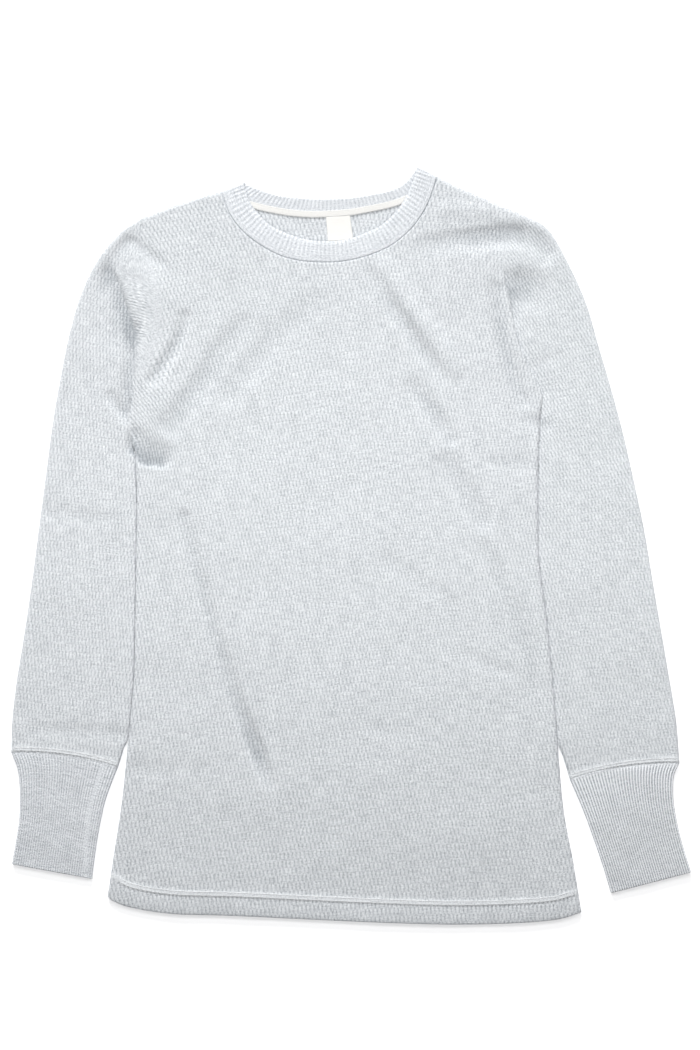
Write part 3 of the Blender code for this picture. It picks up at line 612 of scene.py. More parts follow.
def turn_at(points, fold_lines):
    """0 on the sides where cloth folds, and 1 from where its turn has ended."""
    turn = np.ones(len(points))
    for line in fold_lines:
        turn = np.minimum(turn, rolled(to_line(points, line, ROLL).distance / ROLL))
    return turn


def turned_up(points, fold_lines):
    """Height of the underside: 0, and turned up to the middle level at the sides."""
    return FOLD_LEVEL * (1 - turn_at(points, fold_lines))


def turned_down(height, points, fold_lines):
    """The face turned down to the middle level at the sides where it folds."""
    x, up = points.T
    # The left sleeve and side lie close against each other, and turn over in less room.
    reach = ROLL - CLOSE_ROLL_LESS * (x > -219) * (x < -195) * grown(up, 175, 200)
    for line in fold_lines:
        distance = to_line(points, line, ROLL).distance
        height = FOLD_LEVEL + (height - FOLD_LEVEL) * rolled(distance / reach)
    return height


def lap(points):
    """1 up to where the front no longer lies over the right sleeve, and 0 above."""
    return 1 - grown(points[:, 1], ARMHOLE_RIGHT_END, ARMHOLE_RIGHT_END + ARMHOLE_RIGHT_FADE)


def lapped(height, points, reach):
    """The face sunk at the right armhole, where the front lies over the sleeve."""
    sunken = sunk(height, points, ARMHOLE_RIGHT_LINE, ARMHOLE_RIGHT_LEVEL, reach)
    return height + (sunken - height) * lap(points)


def front_height(points):
    height = lie(points)
    hem = to_line(points, HEM_LINE, 30).distance
    height += np.interp(hem, *np.array(HEM_RELIEF).T)
    armhole = to_line(points, ARMHOLE_RIGHT_LINE, LAP_REACH + 4).distance
    height += LAP_RISE * (1 - np.minimum(armhole / LAP_REACH, 1)**2)**2 * lap(points)
    height = lapped(height, points, ARMHOLE_RIGHT_REACH)
    height = joined(height, points)
    height = sunk(height, points, NECK_FRONT_LINE, NECK_SEAM_LEVEL, NECK_SEAM_REACH)
    return turned_down(height, points, BODY_FOLDS)


def sewn_band(points):
    """Where the knit is pressed flat under rows of sewing, at the hem and beside the cuffs."""
    def between(distance, first, last):
        return grown(distance, first, first + 0.7) * (1 - grown(distance, last, last + 0.9))

    band = between(to_line(points, HEM_LINE, 25).distance, *HEM_BAND)
    for table in (SLEEVE_LEFT, SLEEVE_RIGHT):
        beside = between(to_line(points, cuff_seam(table), 8).distance, *CUFF_BAND)
        band = np.maximum(band, beside * (np.abs(points[:, 0] + 7) > 214))
    return band


def pressed(points):
    """How far the knit shows: little beside the left armhole, where the cloth is drawn smooth."""
    up = points[:, 1]
    near = to_line(points, ARMHOLE_LEFT_LINE, 30)
    drawn = 1 - eased((near.distance - 1) / np.where(near.side > 0, 8, 14))
    shown = 1 - 0.85 * drawn * grown(up, 515, 545) * (1 - grown(up, 632, 657))
    shown = np.where(inside(points, CRESCENT.outline),
                     np.minimum(shown, 0.75 - 0.65 * grown(up, 590, 610)), shown)
    away = to_line(points, ARMHOLE_RIGHT_LINE, 8).distance
    shown *= 1 - 0.6 * (1 - grown(away, 0, 7)) * grown(up, 618, 630)
    for line in OUTER_LINES:
        shown *= 0.3 + 0.7 * grown(to_line(points, line, 7).distance, 0, 6)
    return shown * (1 - 0.75 * sewn_band(points))


# ---- meshes

def make_piece(name, places, faces, grains, finish, nodes, slot, marks=None):
    """A shell of cloth: its points in millimetres, its faces, and the grain at their corners."""
    mesh = bpy.data.meshes.new(name)
    mesh.from_pydata(((places - (0, LENGTH / 2, 0)) * MM).tolist(), [], faces)
    mesh.shade_smooth()
    layer = mesh.uv_layers.new(name="weave")
    layer.data.foreach_set("uv", (grains / GRAIN_UNIT).astype(np.float32).ravel())
    for mark, values in (marks or {}).items():
        mesh.attributes.new(mark, "FLOAT", "POINT").data.foreach_set(
            "value", np.asarray(values, np.float32))
    mesh.materials.append(finish)
    mesh.validate()
    piece = bpy.data.objects.new(name, mesh)
    bpy.context.scene.collection.objects.link(piece)
    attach(piece, "root")
    if nodes:
        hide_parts(*nodes)
    return piece


def grid_faces(numbers, s, t, corners=(0, 1, 2, 3)):
    """The faces of a grid of points, and the grain (s, t) at their corners.

    numbers are the points', row by row. s goes along a row, and t from row to
    row. Corners 0 and 1 of a face are in its first row, and 2 and 3 in the next.
    """
    def at_corners(grid):
        four = grid[:-1, :-1], grid[:-1, 1:], grid[1:, 1:], grid[1:, :-1]
        return np.stack([four[corner] for corner in corners], axis=2)

    faces = at_corners(numbers).reshape(-1, 4).tolist()
    return faces, at_corners(np.stack(np.meshgrid(s, t), axis=-1)).reshape(-1, 2)


def ring_numbers(rows, count):
    """The numbers of a tube's points, ring by ring, each ring closed."""
    numbers = np.arange(rows * count).reshape(rows, count)
    return np.hstack([numbers, numbers[:, :1]])


def reached(spans):
    """Distances from the first row of a grid to each, from those between them."""
    return np.concatenate([[0], np.cumsum(spans)])


Cut = namedtuple("Cut", "points triangles borders outline")


def cut_cloth(borders, grain, patch=None):
    """The points and triangles of a piece, on its knit's grid.

    borders are (name, line, rings) once round it, anticlockwise. Rings are the
    distances from a border at which a line of points follows it.
    """
    loop, named, ring_lines = [], {}, []
    for name, line, rings in borders:
        line = spaced(line)
        start = len(loop)
        loop += line[:-1].tolist()
        named[name] = list(range(start, start + len(line)))
        ring_lines += [(distance, shifted(line, distance)) for distance in rings]
    outline = np.array(loop)
    named[borders[-1][0]][-1] = 0
    border = closed(outline)

    kept = [outline]
    for distance, line in ring_lines:
        line = line[inside(line, outline)]
        if len(line):
            kept.append(line[to_line(line, border).distance > 0.9 * min(distance, 1.2)])
    grains = [grain]
    if patch:
        grains.append(patch.grain)
        edge = spaced(patch.edge)
        kept.append(edge[inside(edge, outline) & (to_line(edge, border).distance > CLEAR_OF_EDGE)])
        ring_lines.append((0, patch.edge))
    for way in grains:
        grid = grid_of(way, outline)
        grid = grid[inside(grid, outline)]
        if patch:
            grid = grid[inside(grid, patch.outline) == (way is patch.grain)]
        clear = to_line(grid, border, 3).distance > CLEAR_OF_EDGE
        for _, line in ring_lines:
            clear &= to_line(grid, line, 2).distance > CLEAR_OF_RING
        for _, line, rings in borders:
            if rings and rings is not HEM_RINGS:
                clear &= to_line(grid, line, 8).distance > rings[-1]
        kept.append(grid[clear])
    # Joined up in the grain's own measure, so that each float keeps its edges.
    points = np.vstack(kept)
    _, _, triangles, origins, _, _ = delaunay_2d_cdt(
        (grain(points) * (1, 0.6)).tolist(), [], [list(range(len(outline)))], 1, 1e-6)
    points = points[[origin[0] for origin in origins]]
    return Cut(points, np.array(triangles), named, outline)


def grain_at(points, faces, grain, patch=None):
    """The grain at each corner of triangles, each triangle wholly in or out of a patch."""
    corners = points[faces]
    found = grain(corners.reshape(-1, 2)).reshape(-1, 3, 2)
    if patch:
        there = inside(corners.mean(axis=1), patch.outline)
        found[there] = patch.grain(corners[there].reshape(-1, 2)).reshape(-1, 3, 2)
    return found.reshape(-1, 2)


def relief_of(cut, grain, plain_seam=None, patch=None):
    """Height of the floats at a cut's points, pressed flat along its borders."""
    floats = float_height(grain(cut.points))
    if patch:
        there = inside(cut.points, patch.outline)
        floats[there] = float_height(patch.grain(cut.points[there]))
    distance = to_line(cut.points, closed(cut.outline), 4).distance
    if plain_seam is not None:
        from_seam = to_line(cut.points, plain_seam, 6).distance
        distance = np.minimum(distance, from_seam * EDGE_PLAIN / SEAM_PLAIN)
    return 0.5 + (floats - 0.5) * eased(distance / EDGE_PLAIN) * pressed(cut.points)


class Shell:
    """Points and faces of one piece, put together from several parts."""

    def __init__(self):
        self.plans, self.heights, self.faces, self.grains, self.count = [], [], [], [], 0

    def points(self, plan, height):
        """Adds points, and returns the index of the first."""
        self.plans.append(plan)
        self.heights.append(height)
        self.count += len(plan)
        return self.count - len(plan)

    def triangles(self, faces, grains):
        self.faces += faces.tolist()
        self.grains.append(grains)

    def edge(self, numbers, profile, grain, flip=False):
        """A turned edge that follows a border, its profile in (outwards, downwards)."""
        plan, height = np.vstack(self.plans)[numbers], np.concatenate(self.heights)[numbers]
        row = np.array(numbers)
        for out, down in profile:
            start = self.points(shifted(plan, -out), height - down)
            before, row = row, np.arange(start, start + len(plan))
            quads = np.stack([before[:-1], before[1:], row[1:], row[:-1]], axis=1)
            quads = quads[:, ::-1] if flip else quads
            self.triangles(quads, grain(np.vstack(self.plans)[quads.ravel()]))

    def make(self, name, finish, folds=FOLDS, **given):
        plan = np.vstack(self.plans)
        # Painted shade darkens the cloth's colour in its troughs and at the armpits, and painted
        # light lightens it under the rows of sewing.
        sunk_by = np.clip(-fold_rise(plan, folds + PAINTED_SHADE_FOLDS), 0, TROUGH_DEEPEST)
        painted_shade = sunk_by**2 / (sunk_by + TROUGH_FAINT) - SEWN_LIGHTER * sewn_band(plan)
        return make_piece(name, np.column_stack([plan, np.concatenate(self.heights)]),
                          self.faces, np.vstack(self.grains), finish,
                          marks={"shown": pressed(plan), "painted_shade": painted_shade}, **given)


# ---- finishes

def sum_of(operation, swapped=False):
    """A method of Signal that stands for an operator."""
    def apply(self, other):
        return self.finish.maths(operation, *((other, self) if swapped else (self, other)))
    return apply


class Signal:
    """A number that changes over the cloth, for use in plain sums."""

    def __init__(self, finish, socket):
        self.finish, self.socket = finish, socket

    __add__, __mul__, __truediv__ = sum_of("ADD"), sum_of("MULTIPLY"), sum_of("DIVIDE")
    __sub__, __rsub__ = sum_of("SUBTRACT"), sum_of("SUBTRACT", swapped=True)


class Finish:
    """A material, and the nodes that vary it over the cloth."""

    def __init__(self, name, roughness=0.92, sheen=0.25, specular=0.25):
        self.material = bpy.data.materials.new(name)
        self.material.use_nodes = True
        self.tree = self.material.node_tree
        self.shader = self.tree.nodes["Principled BSDF"]
        self.shader.inputs["Roughness"].default_value = roughness
        self.shader.inputs["Specular IOR Level"].default_value = specular
        self.shader.inputs["Sheen Weight"].default_value = sheen
        self.shader.inputs["Sheen Roughness"].default_value = 0.6

    def add(self, kind, sockets=None, output=0, **settings):
        """One node: its settings first, then values or links of its sockets."""
        node = self.tree.nodes.new(kind)
        for setting, value in settings.items():
            setattr(node, setting, value)
        for socket, value in (sockets or {}).items():
            if isinstance(value, Signal):
                self.tree.links.new(value.socket, node.inputs[socket])
            else:
                node.inputs[socket].default_value = value
        return Signal(self, node.outputs[output])

    def maths(self, operation, *terms):
        return self.add("ShaderNodeMath", dict(enumerate(terms)), operation=operation)

    def grain(self):
        """Across and along the knit, in millimetres."""
        place = self.add("ShaderNodeUVMap", uv_map="weave")
        return (self.add("ShaderNodeSeparateXYZ", {0: place}, output) * GRAIN_UNIT
                for output in (0, 1))

    def mark(self, name):
        """A number kept at the mesh's points."""
        return self.add("ShaderNodeAttribute", output=2, attribute_name=name)

    def cloudy(self, s, t, size_s, size_t, seed, detail=1.0):
        """Soft random spots of a given size, about 0."""
        place = self.add("ShaderNodeCombineXYZ", {0: s / size_s, 1: t / size_t, 2: seed})
        sockets = {"Vector": place, "Scale": 1.0, "Detail": detail}
        return self.add("ShaderNodeTexNoise", sockets) - 0.5

    def eased(self, value, low, high):
        return self.add("ShaderNodeMapRange", {"Value": value, "From Min": low, "From Max": high},
                        interpolation_type="SMOOTHSTEP")

    def paint(self, share, first, second):
        """Colours the cloth from the first colour, where the share is 0, to the second."""
        node = self.tree.nodes.new("ShaderNodeMix")
        node.data_type = "RGBA"
        node.clamp_factor = True
        self.tree.links.new(share.socket, node.inputs[0])
        node.inputs[6].default_value = (*first, 1)
        node.inputs[7].default_value = (*second, 1)
        self.tree.links.new(node.outputs[2], self.shader.inputs["Base Color"])

    def raise_by(self, height):
        """Fine relief, its height in millimetres."""
        bump = self.add("ShaderNodeBump", {"Height": height, "Distance": MM, "Strength": 1.0})
        self.tree.links.new(bump.socket, self.shader.inputs["Normal"])


KNIT_DARK, KNIT_LIGHT = (0.282, 0.309, 0.338), (0.84, 0.864, 0.888)
RIB_DARK, RIB_LIGHT = (0.303, 0.330, 0.364), (0.922, 0.945, 0.974)
TAPE_DARK, TAPE_LIGHT = (0.58, 0.575, 0.555), (0.94, 0.93, 0.905)
LABEL_DARK, LABEL_LIGHT = (0.78, 0.77, 0.74), (0.90, 0.89, 0.865)
THREAD_DARK, THREAD_LIGHT = (0.70, 0.72, 0.73), (0.90, 0.91, 0.91)


def heather(finish, s, t):
    """Light and dark fibres spun together: specks, and streaks along the courses."""
    specks = finish.cloudy(s, t, 1.3, 1.2, 3.0, 2.0)
    streaks = finish.cloudy(s, t, 13.0, 1.3, 7.0, 2.0)
    fibres = finish.cloudy(s, t, 0.8, 0.7, 11.0, 1.0)
    return specks * 1.4 + streaks * 0.8 + fibres * 1.4


def knit_finish(name):
    finish = Finish(name)
    s, t = finish.grain()
    wander = finish.cloudy(s, t, 4.0, 6.0, 1.0)
    uneven = finish.cloudy(s, t, 1.3, 9.0, 13.0)
    s, t = s + wander * 0.9, t + wander * 1.2 + uneven * 3.5
    row = t / BAND
    band = finish.maths("FLOOR", row)
    along = row - band
    across = s / PITCH + band * 0.5 + along * FLOAT_LEAN - FLOAT_LEAN / 2
    shown = finish.mark("shown")
    ends = finish.eased(finish.maths("MINIMUM", along, 1 - along), 0.0, FLOAT_ENDS) * shown
    wave = finish.maths("COSINE", across * (2 * pi)) * ends
    # Twice as many waves, with no change of the mean, narrow the slits.
    narrow = wave * wave - ends * ends * 0.5
    stitches = finish.maths("SINE", t * (2 * pi / 1.85)) * 0.5
    cell = finish.add("ShaderNodeCombineXYZ", {0: finish.maths("FLOOR", across + 0.5), 1: band})
    each = finish.add("ShaderNodeTexWhiteNoise", {"Vector": cell}) - 0.5
    # Painted shade darkens the colour in the slits between floats and in the folds' troughs, and
    # painted light lightens it under the sewing; each float's own tone and the heather are the
    # yarn's.
    finish.paint(wave * 0.17 - narrow * 0.08 + each * (ends * 0.10) - finish.mark("painted_shade") * 0.1
                 + heather(finish, s, t) + 0.64, KNIT_DARK, KNIT_LIGHT)
    finish.raise_by(wave * 0.15 - narrow * 0.1 + stitches * (shown * 0.07)
                    + finish.cloudy(s, t, 0.9, 0.6, 5.0, 3.0) * 0.4)
    return finish.material


def rib_finish(name, shade_and_depth, light, speckled=1.15):
    """Ribs of s 1 apart, t in millimetres along them, with painted shade between the ribs. Its
    strength also sets the depth of their bump.
    """
    finish = Finish(name)
    s, t = finish.grain()
    shown = finish.mark("shown")
    ridge = finish.maths("COSINE", s * (2 * pi)) * shown * -0.5
    stitches = finish.maths("SINE", t * (2 * pi / 1.5)) * 0.5
    wide = s * 2.65
    # Painted shade darkens the colour between the ribs and in the folds' troughs.
    finish.paint(ridge * shade_and_depth - finish.mark("painted_shade") * 0.09
                 + heather(finish, wide, t) * speckled + light, RIB_DARK, RIB_LIGHT)
    finish.raise_by(ridge * (shade_and_depth * 0.5) + stitches * 0.08
                    + finish.cloudy(wide, t, 0.8, 0.6, 5.0, 3.0) * 0.35)
    return finish.material


def woven_finish(name, dark, light, thread, **given):
    """A close weave of threads, s along the strip and t across it."""
    finish = Finish(name, **given)
    s, t = finish.grain()
    over = finish.maths("SINE", (s + t * 0.5) * (2 * pi / thread)) * 0.5
    under = finish.maths("SINE", (t - s * 0.15) * (2 * pi / thread)) * 0.5
    weave = over * under + 0.5
    finish.paint(weave * 0.4 + finish.cloudy(s, t, 2.0, 0.6, 4.0, 2.0) * 0.6 + 0.35, dark, light)
    finish.raise_by(weave * 0.12 + finish.cloudy(s, t, 0.4, 0.4, 9.0) * 0.08)
    return finish.material


def thread_finish(name):
    finish = Finish(name, roughness=0.6, sheen=0.15, specular=0.35)
    s, t = finish.grain()
    twist = finish.maths("SINE", (s + t * 2) * (2 * pi / 0.5)) * 0.5 + 0.5
    finish.paint(twist * 0.6 + finish.cloudy(s, t, 3.0, 3.0, 2.0) + 0.2, THREAD_DARK, THREAD_LIGHT)
    finish.raise_by(twist * 0.06)
    return finish.material


# ---- the body

def body_borders(hem, neck, armhole_right_rings, skipped):
    """The borders of the front or back. A side's first points are skipped."""
    return [
        ("hem", hem, HEM_RINGS),
        ("side_right", np.vstack([hem[-1:], SIDE_RIGHT_LINE[skipped:]]), ROLL_RINGS),
        ("armhole_right", ARMHOLE_RIGHT_LINE, armhole_right_rings),
        ("shoulder_right", SHOULDER_RIGHT_LINE[::-1], ROLL_RINGS),
        ("neck", neck[::-1], SEAM_RINGS),
        ("shoulder_left", SHOULDER_LEFT_LINE[::-1], ROLL_RINGS),
        ("armhole_left", ARMHOLE_LEFT_LINE[::-1], SEAM_RINGS),
        ("side_left", np.vstack([SIDE_LEFT_LINE[:skipped - 1:-1], hem[:1]]), ROLL_RINGS),
    ]


def make_front():
    cut = cut_cloth(body_borders(HEM_LINE, NECK_FRONT_LINE, LAP_RINGS, 1), body_grain)
    height = front_height(cut.points)
    relief = relief_of(cut, body_grain)
    shell = Shell()
    shell.points(cut.points, height + FLOAT_DEPTH * (relief - 0.5) * (height > FLOATS_ABOVE))
    shell.triangles(cut.triangles, grain_at(cut.points, cut.triangles, body_grain))
    for border, profile in (("hem", [(0.2, 0.5), (0.2, 1.1), (-0.3, 1.6), (-9.0, 1.9)]),
                            ("armhole_right", [(0.2, 0.6), (1.0, 1.2)]),
                            ("armhole_left", [(0.6, 0.8)]), ("neck", [(0.6, 0.8)])):
        shell.edge(cut.borders[border], profile, body_grain, flip=True)
    return shell.make("front_cloth", knit_finish("front knit"), nodes=["front"],
                      slot="front_knit")


def make_back():
    """The back's underside, and its inside as far as it shows through the neck."""
    hem = HEM_LINE + (0, BACK_HEM_SHORTER)
    cut = cut_cloth(body_borders(hem, NECK_BACK_LINE, SEAM_RINGS, 3), body_grain)
    under = turned_up(cut.points, BODY_FOLDS)
    away = to_line(cut.points, closed(cut.outline), BACK_EDGE_FLAT + 2).distance
    under += fold_rise(cut.points, BACK_FOLDS) * grown(away, 0, BACK_EDGE_FLAT)
    from_hem = to_line(cut.points, hem, 30).distance
    under += BACK_HEM_GROOVE * np.exp(-((from_hem - BACK_HEM_SEWN) / 0.9)**2)
    shell = Shell()
    shell.points(cut.points, under + FLOAT_DEPTH * (1 - relief_of(cut, body_grain)))
    faces = cut.triangles[:, ::-1]
    shell.triangles(faces, grain_at(cut.points, faces, body_grain))
    shell.edge(cut.borders["hem"], [(0.35, -0.5), (0.3, -1.1), (-0.3, -1.5), (-9.0, -1.7)],
               body_grain)

    upper = at_distances(NECK_BACK_LINE, np.linspace(5, runs(NECK_BACK_LINE)[-1] - 5, 120))
    lower = at_distances(NECK_FRONT_LINE, np.linspace(8, runs(NECK_FRONT_LINE)[-1] - 8, 140))
    inner = cut_cloth([
        ("low", lower, ()), ("right", np.stack([lower[-1], upper[-1]]), ()),
        ("neck", upper[::-1], (0.6, 1.6)), ("left", np.stack([upper[0], lower[0]]), ()),
    ], body_grain)
    start = shell.points(inner.points,
                         CLOTH + 0.5 * FLOAT_DEPTH * (relief_of(inner, body_grain) - 1))
    shell.triangles(inner.triangles + start, grain_at(inner.points, inner.triangles, body_grain))
    shell.edge(np.array(inner.borders["neck"]) + start, [(0.1, 0.9), (0.1, 1.6)], body_grain,
               flip=True)
    return shell.make("back_cloth", knit_finish("back knit"), BACK_FOLDS, nodes=["back"],
                      slot="back_knit")


# ---- sleeves and cuffs

def cuff_seam(table):
    """The seam between sleeve and cuff, from the armpit side to the outer side."""
    inner, outer = np.array(table[-1][:2]), np.array(table[-1][2:])
    share = np.linspace(0, 1, 40)[:, None]
    line = inner + (outer - inner) * share
    across = (outer - inner) / np.linalg.norm(outer - inner)
    side = 1 if outer[0] > inner[0] else -1
    rise = CUFF_SEAM_BOW * 4 * share * (1 - share) * side
    return line + rise * np.array([-across[1], across[0]])


def closed_up(inner, side_line):
    """A sleeve's inner fold, moved against the body's side where it lies close to it."""
    side_line = side_line[np.argsort(side_line[:, 1])]
    gap = np.interp(inner[:, 1], side_line[:, 1], side_line[:, 0]) - inner[:, 0]
    close = 1 - eased((np.abs(gap) - CLOSE_GAP) / CLOSE_FADE)
    return inner + np.column_stack([close * (gap - CLOSE_LEFT * np.sign(gap)), np.zeros(len(gap))])


def make_sleeve(side, table, grain, patch=None):
    left = side == "left"
    sections = sections_of(table)
    inner, outer = sections[:, :2], sections[:, 2:]
    inner[6:] = closed_up(inner, SIDE_LEFT_LINE if left else SIDE_RIGHT_LINE)[6:]
    seam = cuff_seam(table)
    armhole, rings = (ARMHOLE_LEFT_LINE, SEAM_RINGS) if left else (ARMHOLE_RIGHT_LINE, LAPPED_RINGS)
    borders = [("armhole", armhole, rings), ("outer", outer, ROLL_RINGS),
               ("cuff", seam[::-1], SEAM_RINGS), ("inner", inner[::-1], ROLL_RINGS)]
    if not left:
        borders = [(name, line[::-1], rings) for name, line, rings in borders[:1] + borders[:0:-1]]
    cut = cut_cloth(borders, grain, patch)
    points = cut.points

    folds = FOLDS if left else FOLDS + [HOLLOW]
    height = lie(points, folds)
    from_cuff = to_line(points, seam, CUFF_PUCKER_REACH)
    pucker = np.sin(2 * pi * from_cuff.share * CUFF_PUCKERS + 1.5 * np.sin(from_cuff.share * 9))
    height += (CUFF_PUCKER_RISE * pucker * np.exp(-from_cuff.distance / CUFF_PUCKER_FADE)
               * (from_cuff.distance < CUFF_PUCKER_REACH))
    height += SEWN_RISE * sewn_band(points)
    height = joined(height, points) if left else lapped(height, points, ARMHOLE_RIGHT_RISE)
    height = sunk(height, points, seam, CUFF_SEAM_LEVEL, CUFF_SEAM_REACH)
    height = turned_down(height, points, [inner, outer])
    relief = relief_of(cut, grain, seam, patch)
    shell = Shell()
    shell.points(points, height + FLOAT_DEPTH * (relief - 0.5) * (height > FLOATS_ABOVE))
    shell.triangles(cut.triangles, grain_at(points, cut.triangles, grain, patch))

    # The underside has the same points but for those on the folds, which both share.
    own = np.ones(len(points), bool)
    own[cut.borders["inner"] + cut.borders["outer"]] = False
    from_body = to_line(points, inner, 9).distance
    under = turned_up(points, [inner, outer]) + FLOAT_DEPTH * (1 - relief) * (
        1 - np.exp(-from_body / 3))
    start = shell.points(points[own], under[own])
    place_of = np.arange(len(points))
    place_of[own] = start + np.arange(own.sum())
    faces = cut.triangles[:, ::-1]
    shell.triangles(place_of[faces], grain_at(points, faces, grain, patch))
    return shell.make("sleeve_" + side + "_cloth", knit_finish("sleeve " + side + " knit"), folds,
                      nodes=["sleeve_" + side], slot="sleeve_" + side + "_knit")


def rib_profile(columns):
    """Height of a rib knit across its points: 0 between ribs, 1 on top."""
    return np.abs(np.sin(pi * np.arange(columns) / RIB_COLUMNS))**0.75


def make_cuff(side, table, finish):
    """A tube of ribs in rings of points, from the sleeve to the wrist and turned in."""
    sections = sections_of(table)
    sections = np.vstack([sections[:-1], sections[-2] * 0.12 + sections[-1] * 0.88, sections[-1:]])
    steps = CUFF_RIBS * RIB_COLUMNS
    share = (np.arange(steps + 1) / steps)[:, None]
    inner, outer = sections[:, None, :2], sections[:, None, 2:]
    over = inner + (outer - inner) * share
    # The rows follow the bowed seam, less and less towards the wrist.
    seam = in_steps(cuff_seam(table[:1]), steps)
    over += (seam - over[0]) * np.linspace(1, 0, len(sections))[:, None, None]
    flat = over.reshape(-1, 2)

    ribs = np.tile(rib_profile(steps + 1), len(sections))
    side_seam = np.zeros(len(flat))
    if side == "left":
        from_side = to_line(flat, smooth(CUFF_SIDE_SEAM), 6).distance
        side_seam = 1 - grown(from_side, 0, CUFF_SIDE_SEAM_REACH)
    plain = grown(to_line(flat, seam, 30).distance, 1, 5) * (1 - 0.8 * side_seam)
    height = lie(flat) - 0.1 + 0.12 * np.sin(flat[:, 1] / 5.3 + flat[:, 0] / 11)
    height = sunk(height, flat, seam, CUFF_SEAM_LEVEL, CUFF_SEAM_REACH)
    turn = turn_at(flat, [sections[:, :2], sections[:, 2:]])
    upper = FOLD_LEVEL + (height - FOLD_LEVEL) * turn + RIB_DEPTH * (ribs - 0.6) * plain * turn
    lower = FOLD_LEVEL * (1 - turn) + RIB_DEPTH * (1 - ribs) * plain * turn

    def round_tube(upper, lower):
        """Values of the upper face, and of the lower one on the way back, ring by ring."""
        upper, lower = (values.reshape(len(sections), steps + 1, -1) for values in (upper, lower))
        return np.concatenate([upper, lower[:, -2:0:-1]], axis=1)

    rings = list(np.dstack([round_tube(over, over), round_tube(upper, lower)]))
    count = len(rings[0])

    # The wrist's edge turns in, over a wall of cloth, and goes back up inside.
    last = rings[-1]
    ring_turn = round_tube(turn, turn)[-1, :, 0]
    heading = unit((last - rings[-4])[:, :2])
    inward = unit(sections[-1].reshape(2, 2).mean(axis=0) - last[:, :2])
    inside_way = np.where(np.arange(count) <= steps, -1, 1)
    for ahead, depth in ((-0.1, 0.25), (0.35, 0.9), (-0.2, 1.6), (-12.0, 1.8)):
        plan = last[:, :2] + heading * ahead + inward * (depth * (1 - ring_turn))[:, None]
        rings.append(np.column_stack([plan, last[:, 2] + inside_way * depth * ring_turn]))

    places = np.vstack(rings)
    along = reached([np.linalg.norm(b[0] - a[0]) for a, b in zip(rings, rings[1:])])
    faces, grains = grid_faces(ring_numbers(len(rings), count), np.arange(count + 1) / RIB_COLUMNS,
                               along, (1, 2, 3, 0) if side == "left" else (0, 3, 2, 1))
    shown = grown(to_line(places[:, :2], seam, 30).distance, 0.8, 3.8)
    # Along the left cuff's side seam the ribs are flattened, and the colour is painted lighter
    # through a negative shade mark.
    band = np.zeros(len(places))
    band[:len(sections) * count] = round_tube(side_seam, 0 * side_seam).ravel()
    return make_piece("cuff_" + side + "_rib", places, faces, grains, finish,
                      ["cuff_" + side], "cuff_" + side + "_rib",
                      {"shown": shown * (1 - 0.8 * band), "painted_shade": -0.9 * band})


# ---- the neck

def straight_across(edge, line):
    """A line's points that lie straight across from an edge's, and its two ends."""
    share = to_line(edge, line).share
    along = np.linspace(0, 1, len(edge))
    share = np.maximum.accumulate(share - share[0] * (1 - along)**5 + (1 - share[-1]) * along**5)
    share = share * 0.85 + along * 0.15
    return at_distances(line, share * runs(line)[-1])


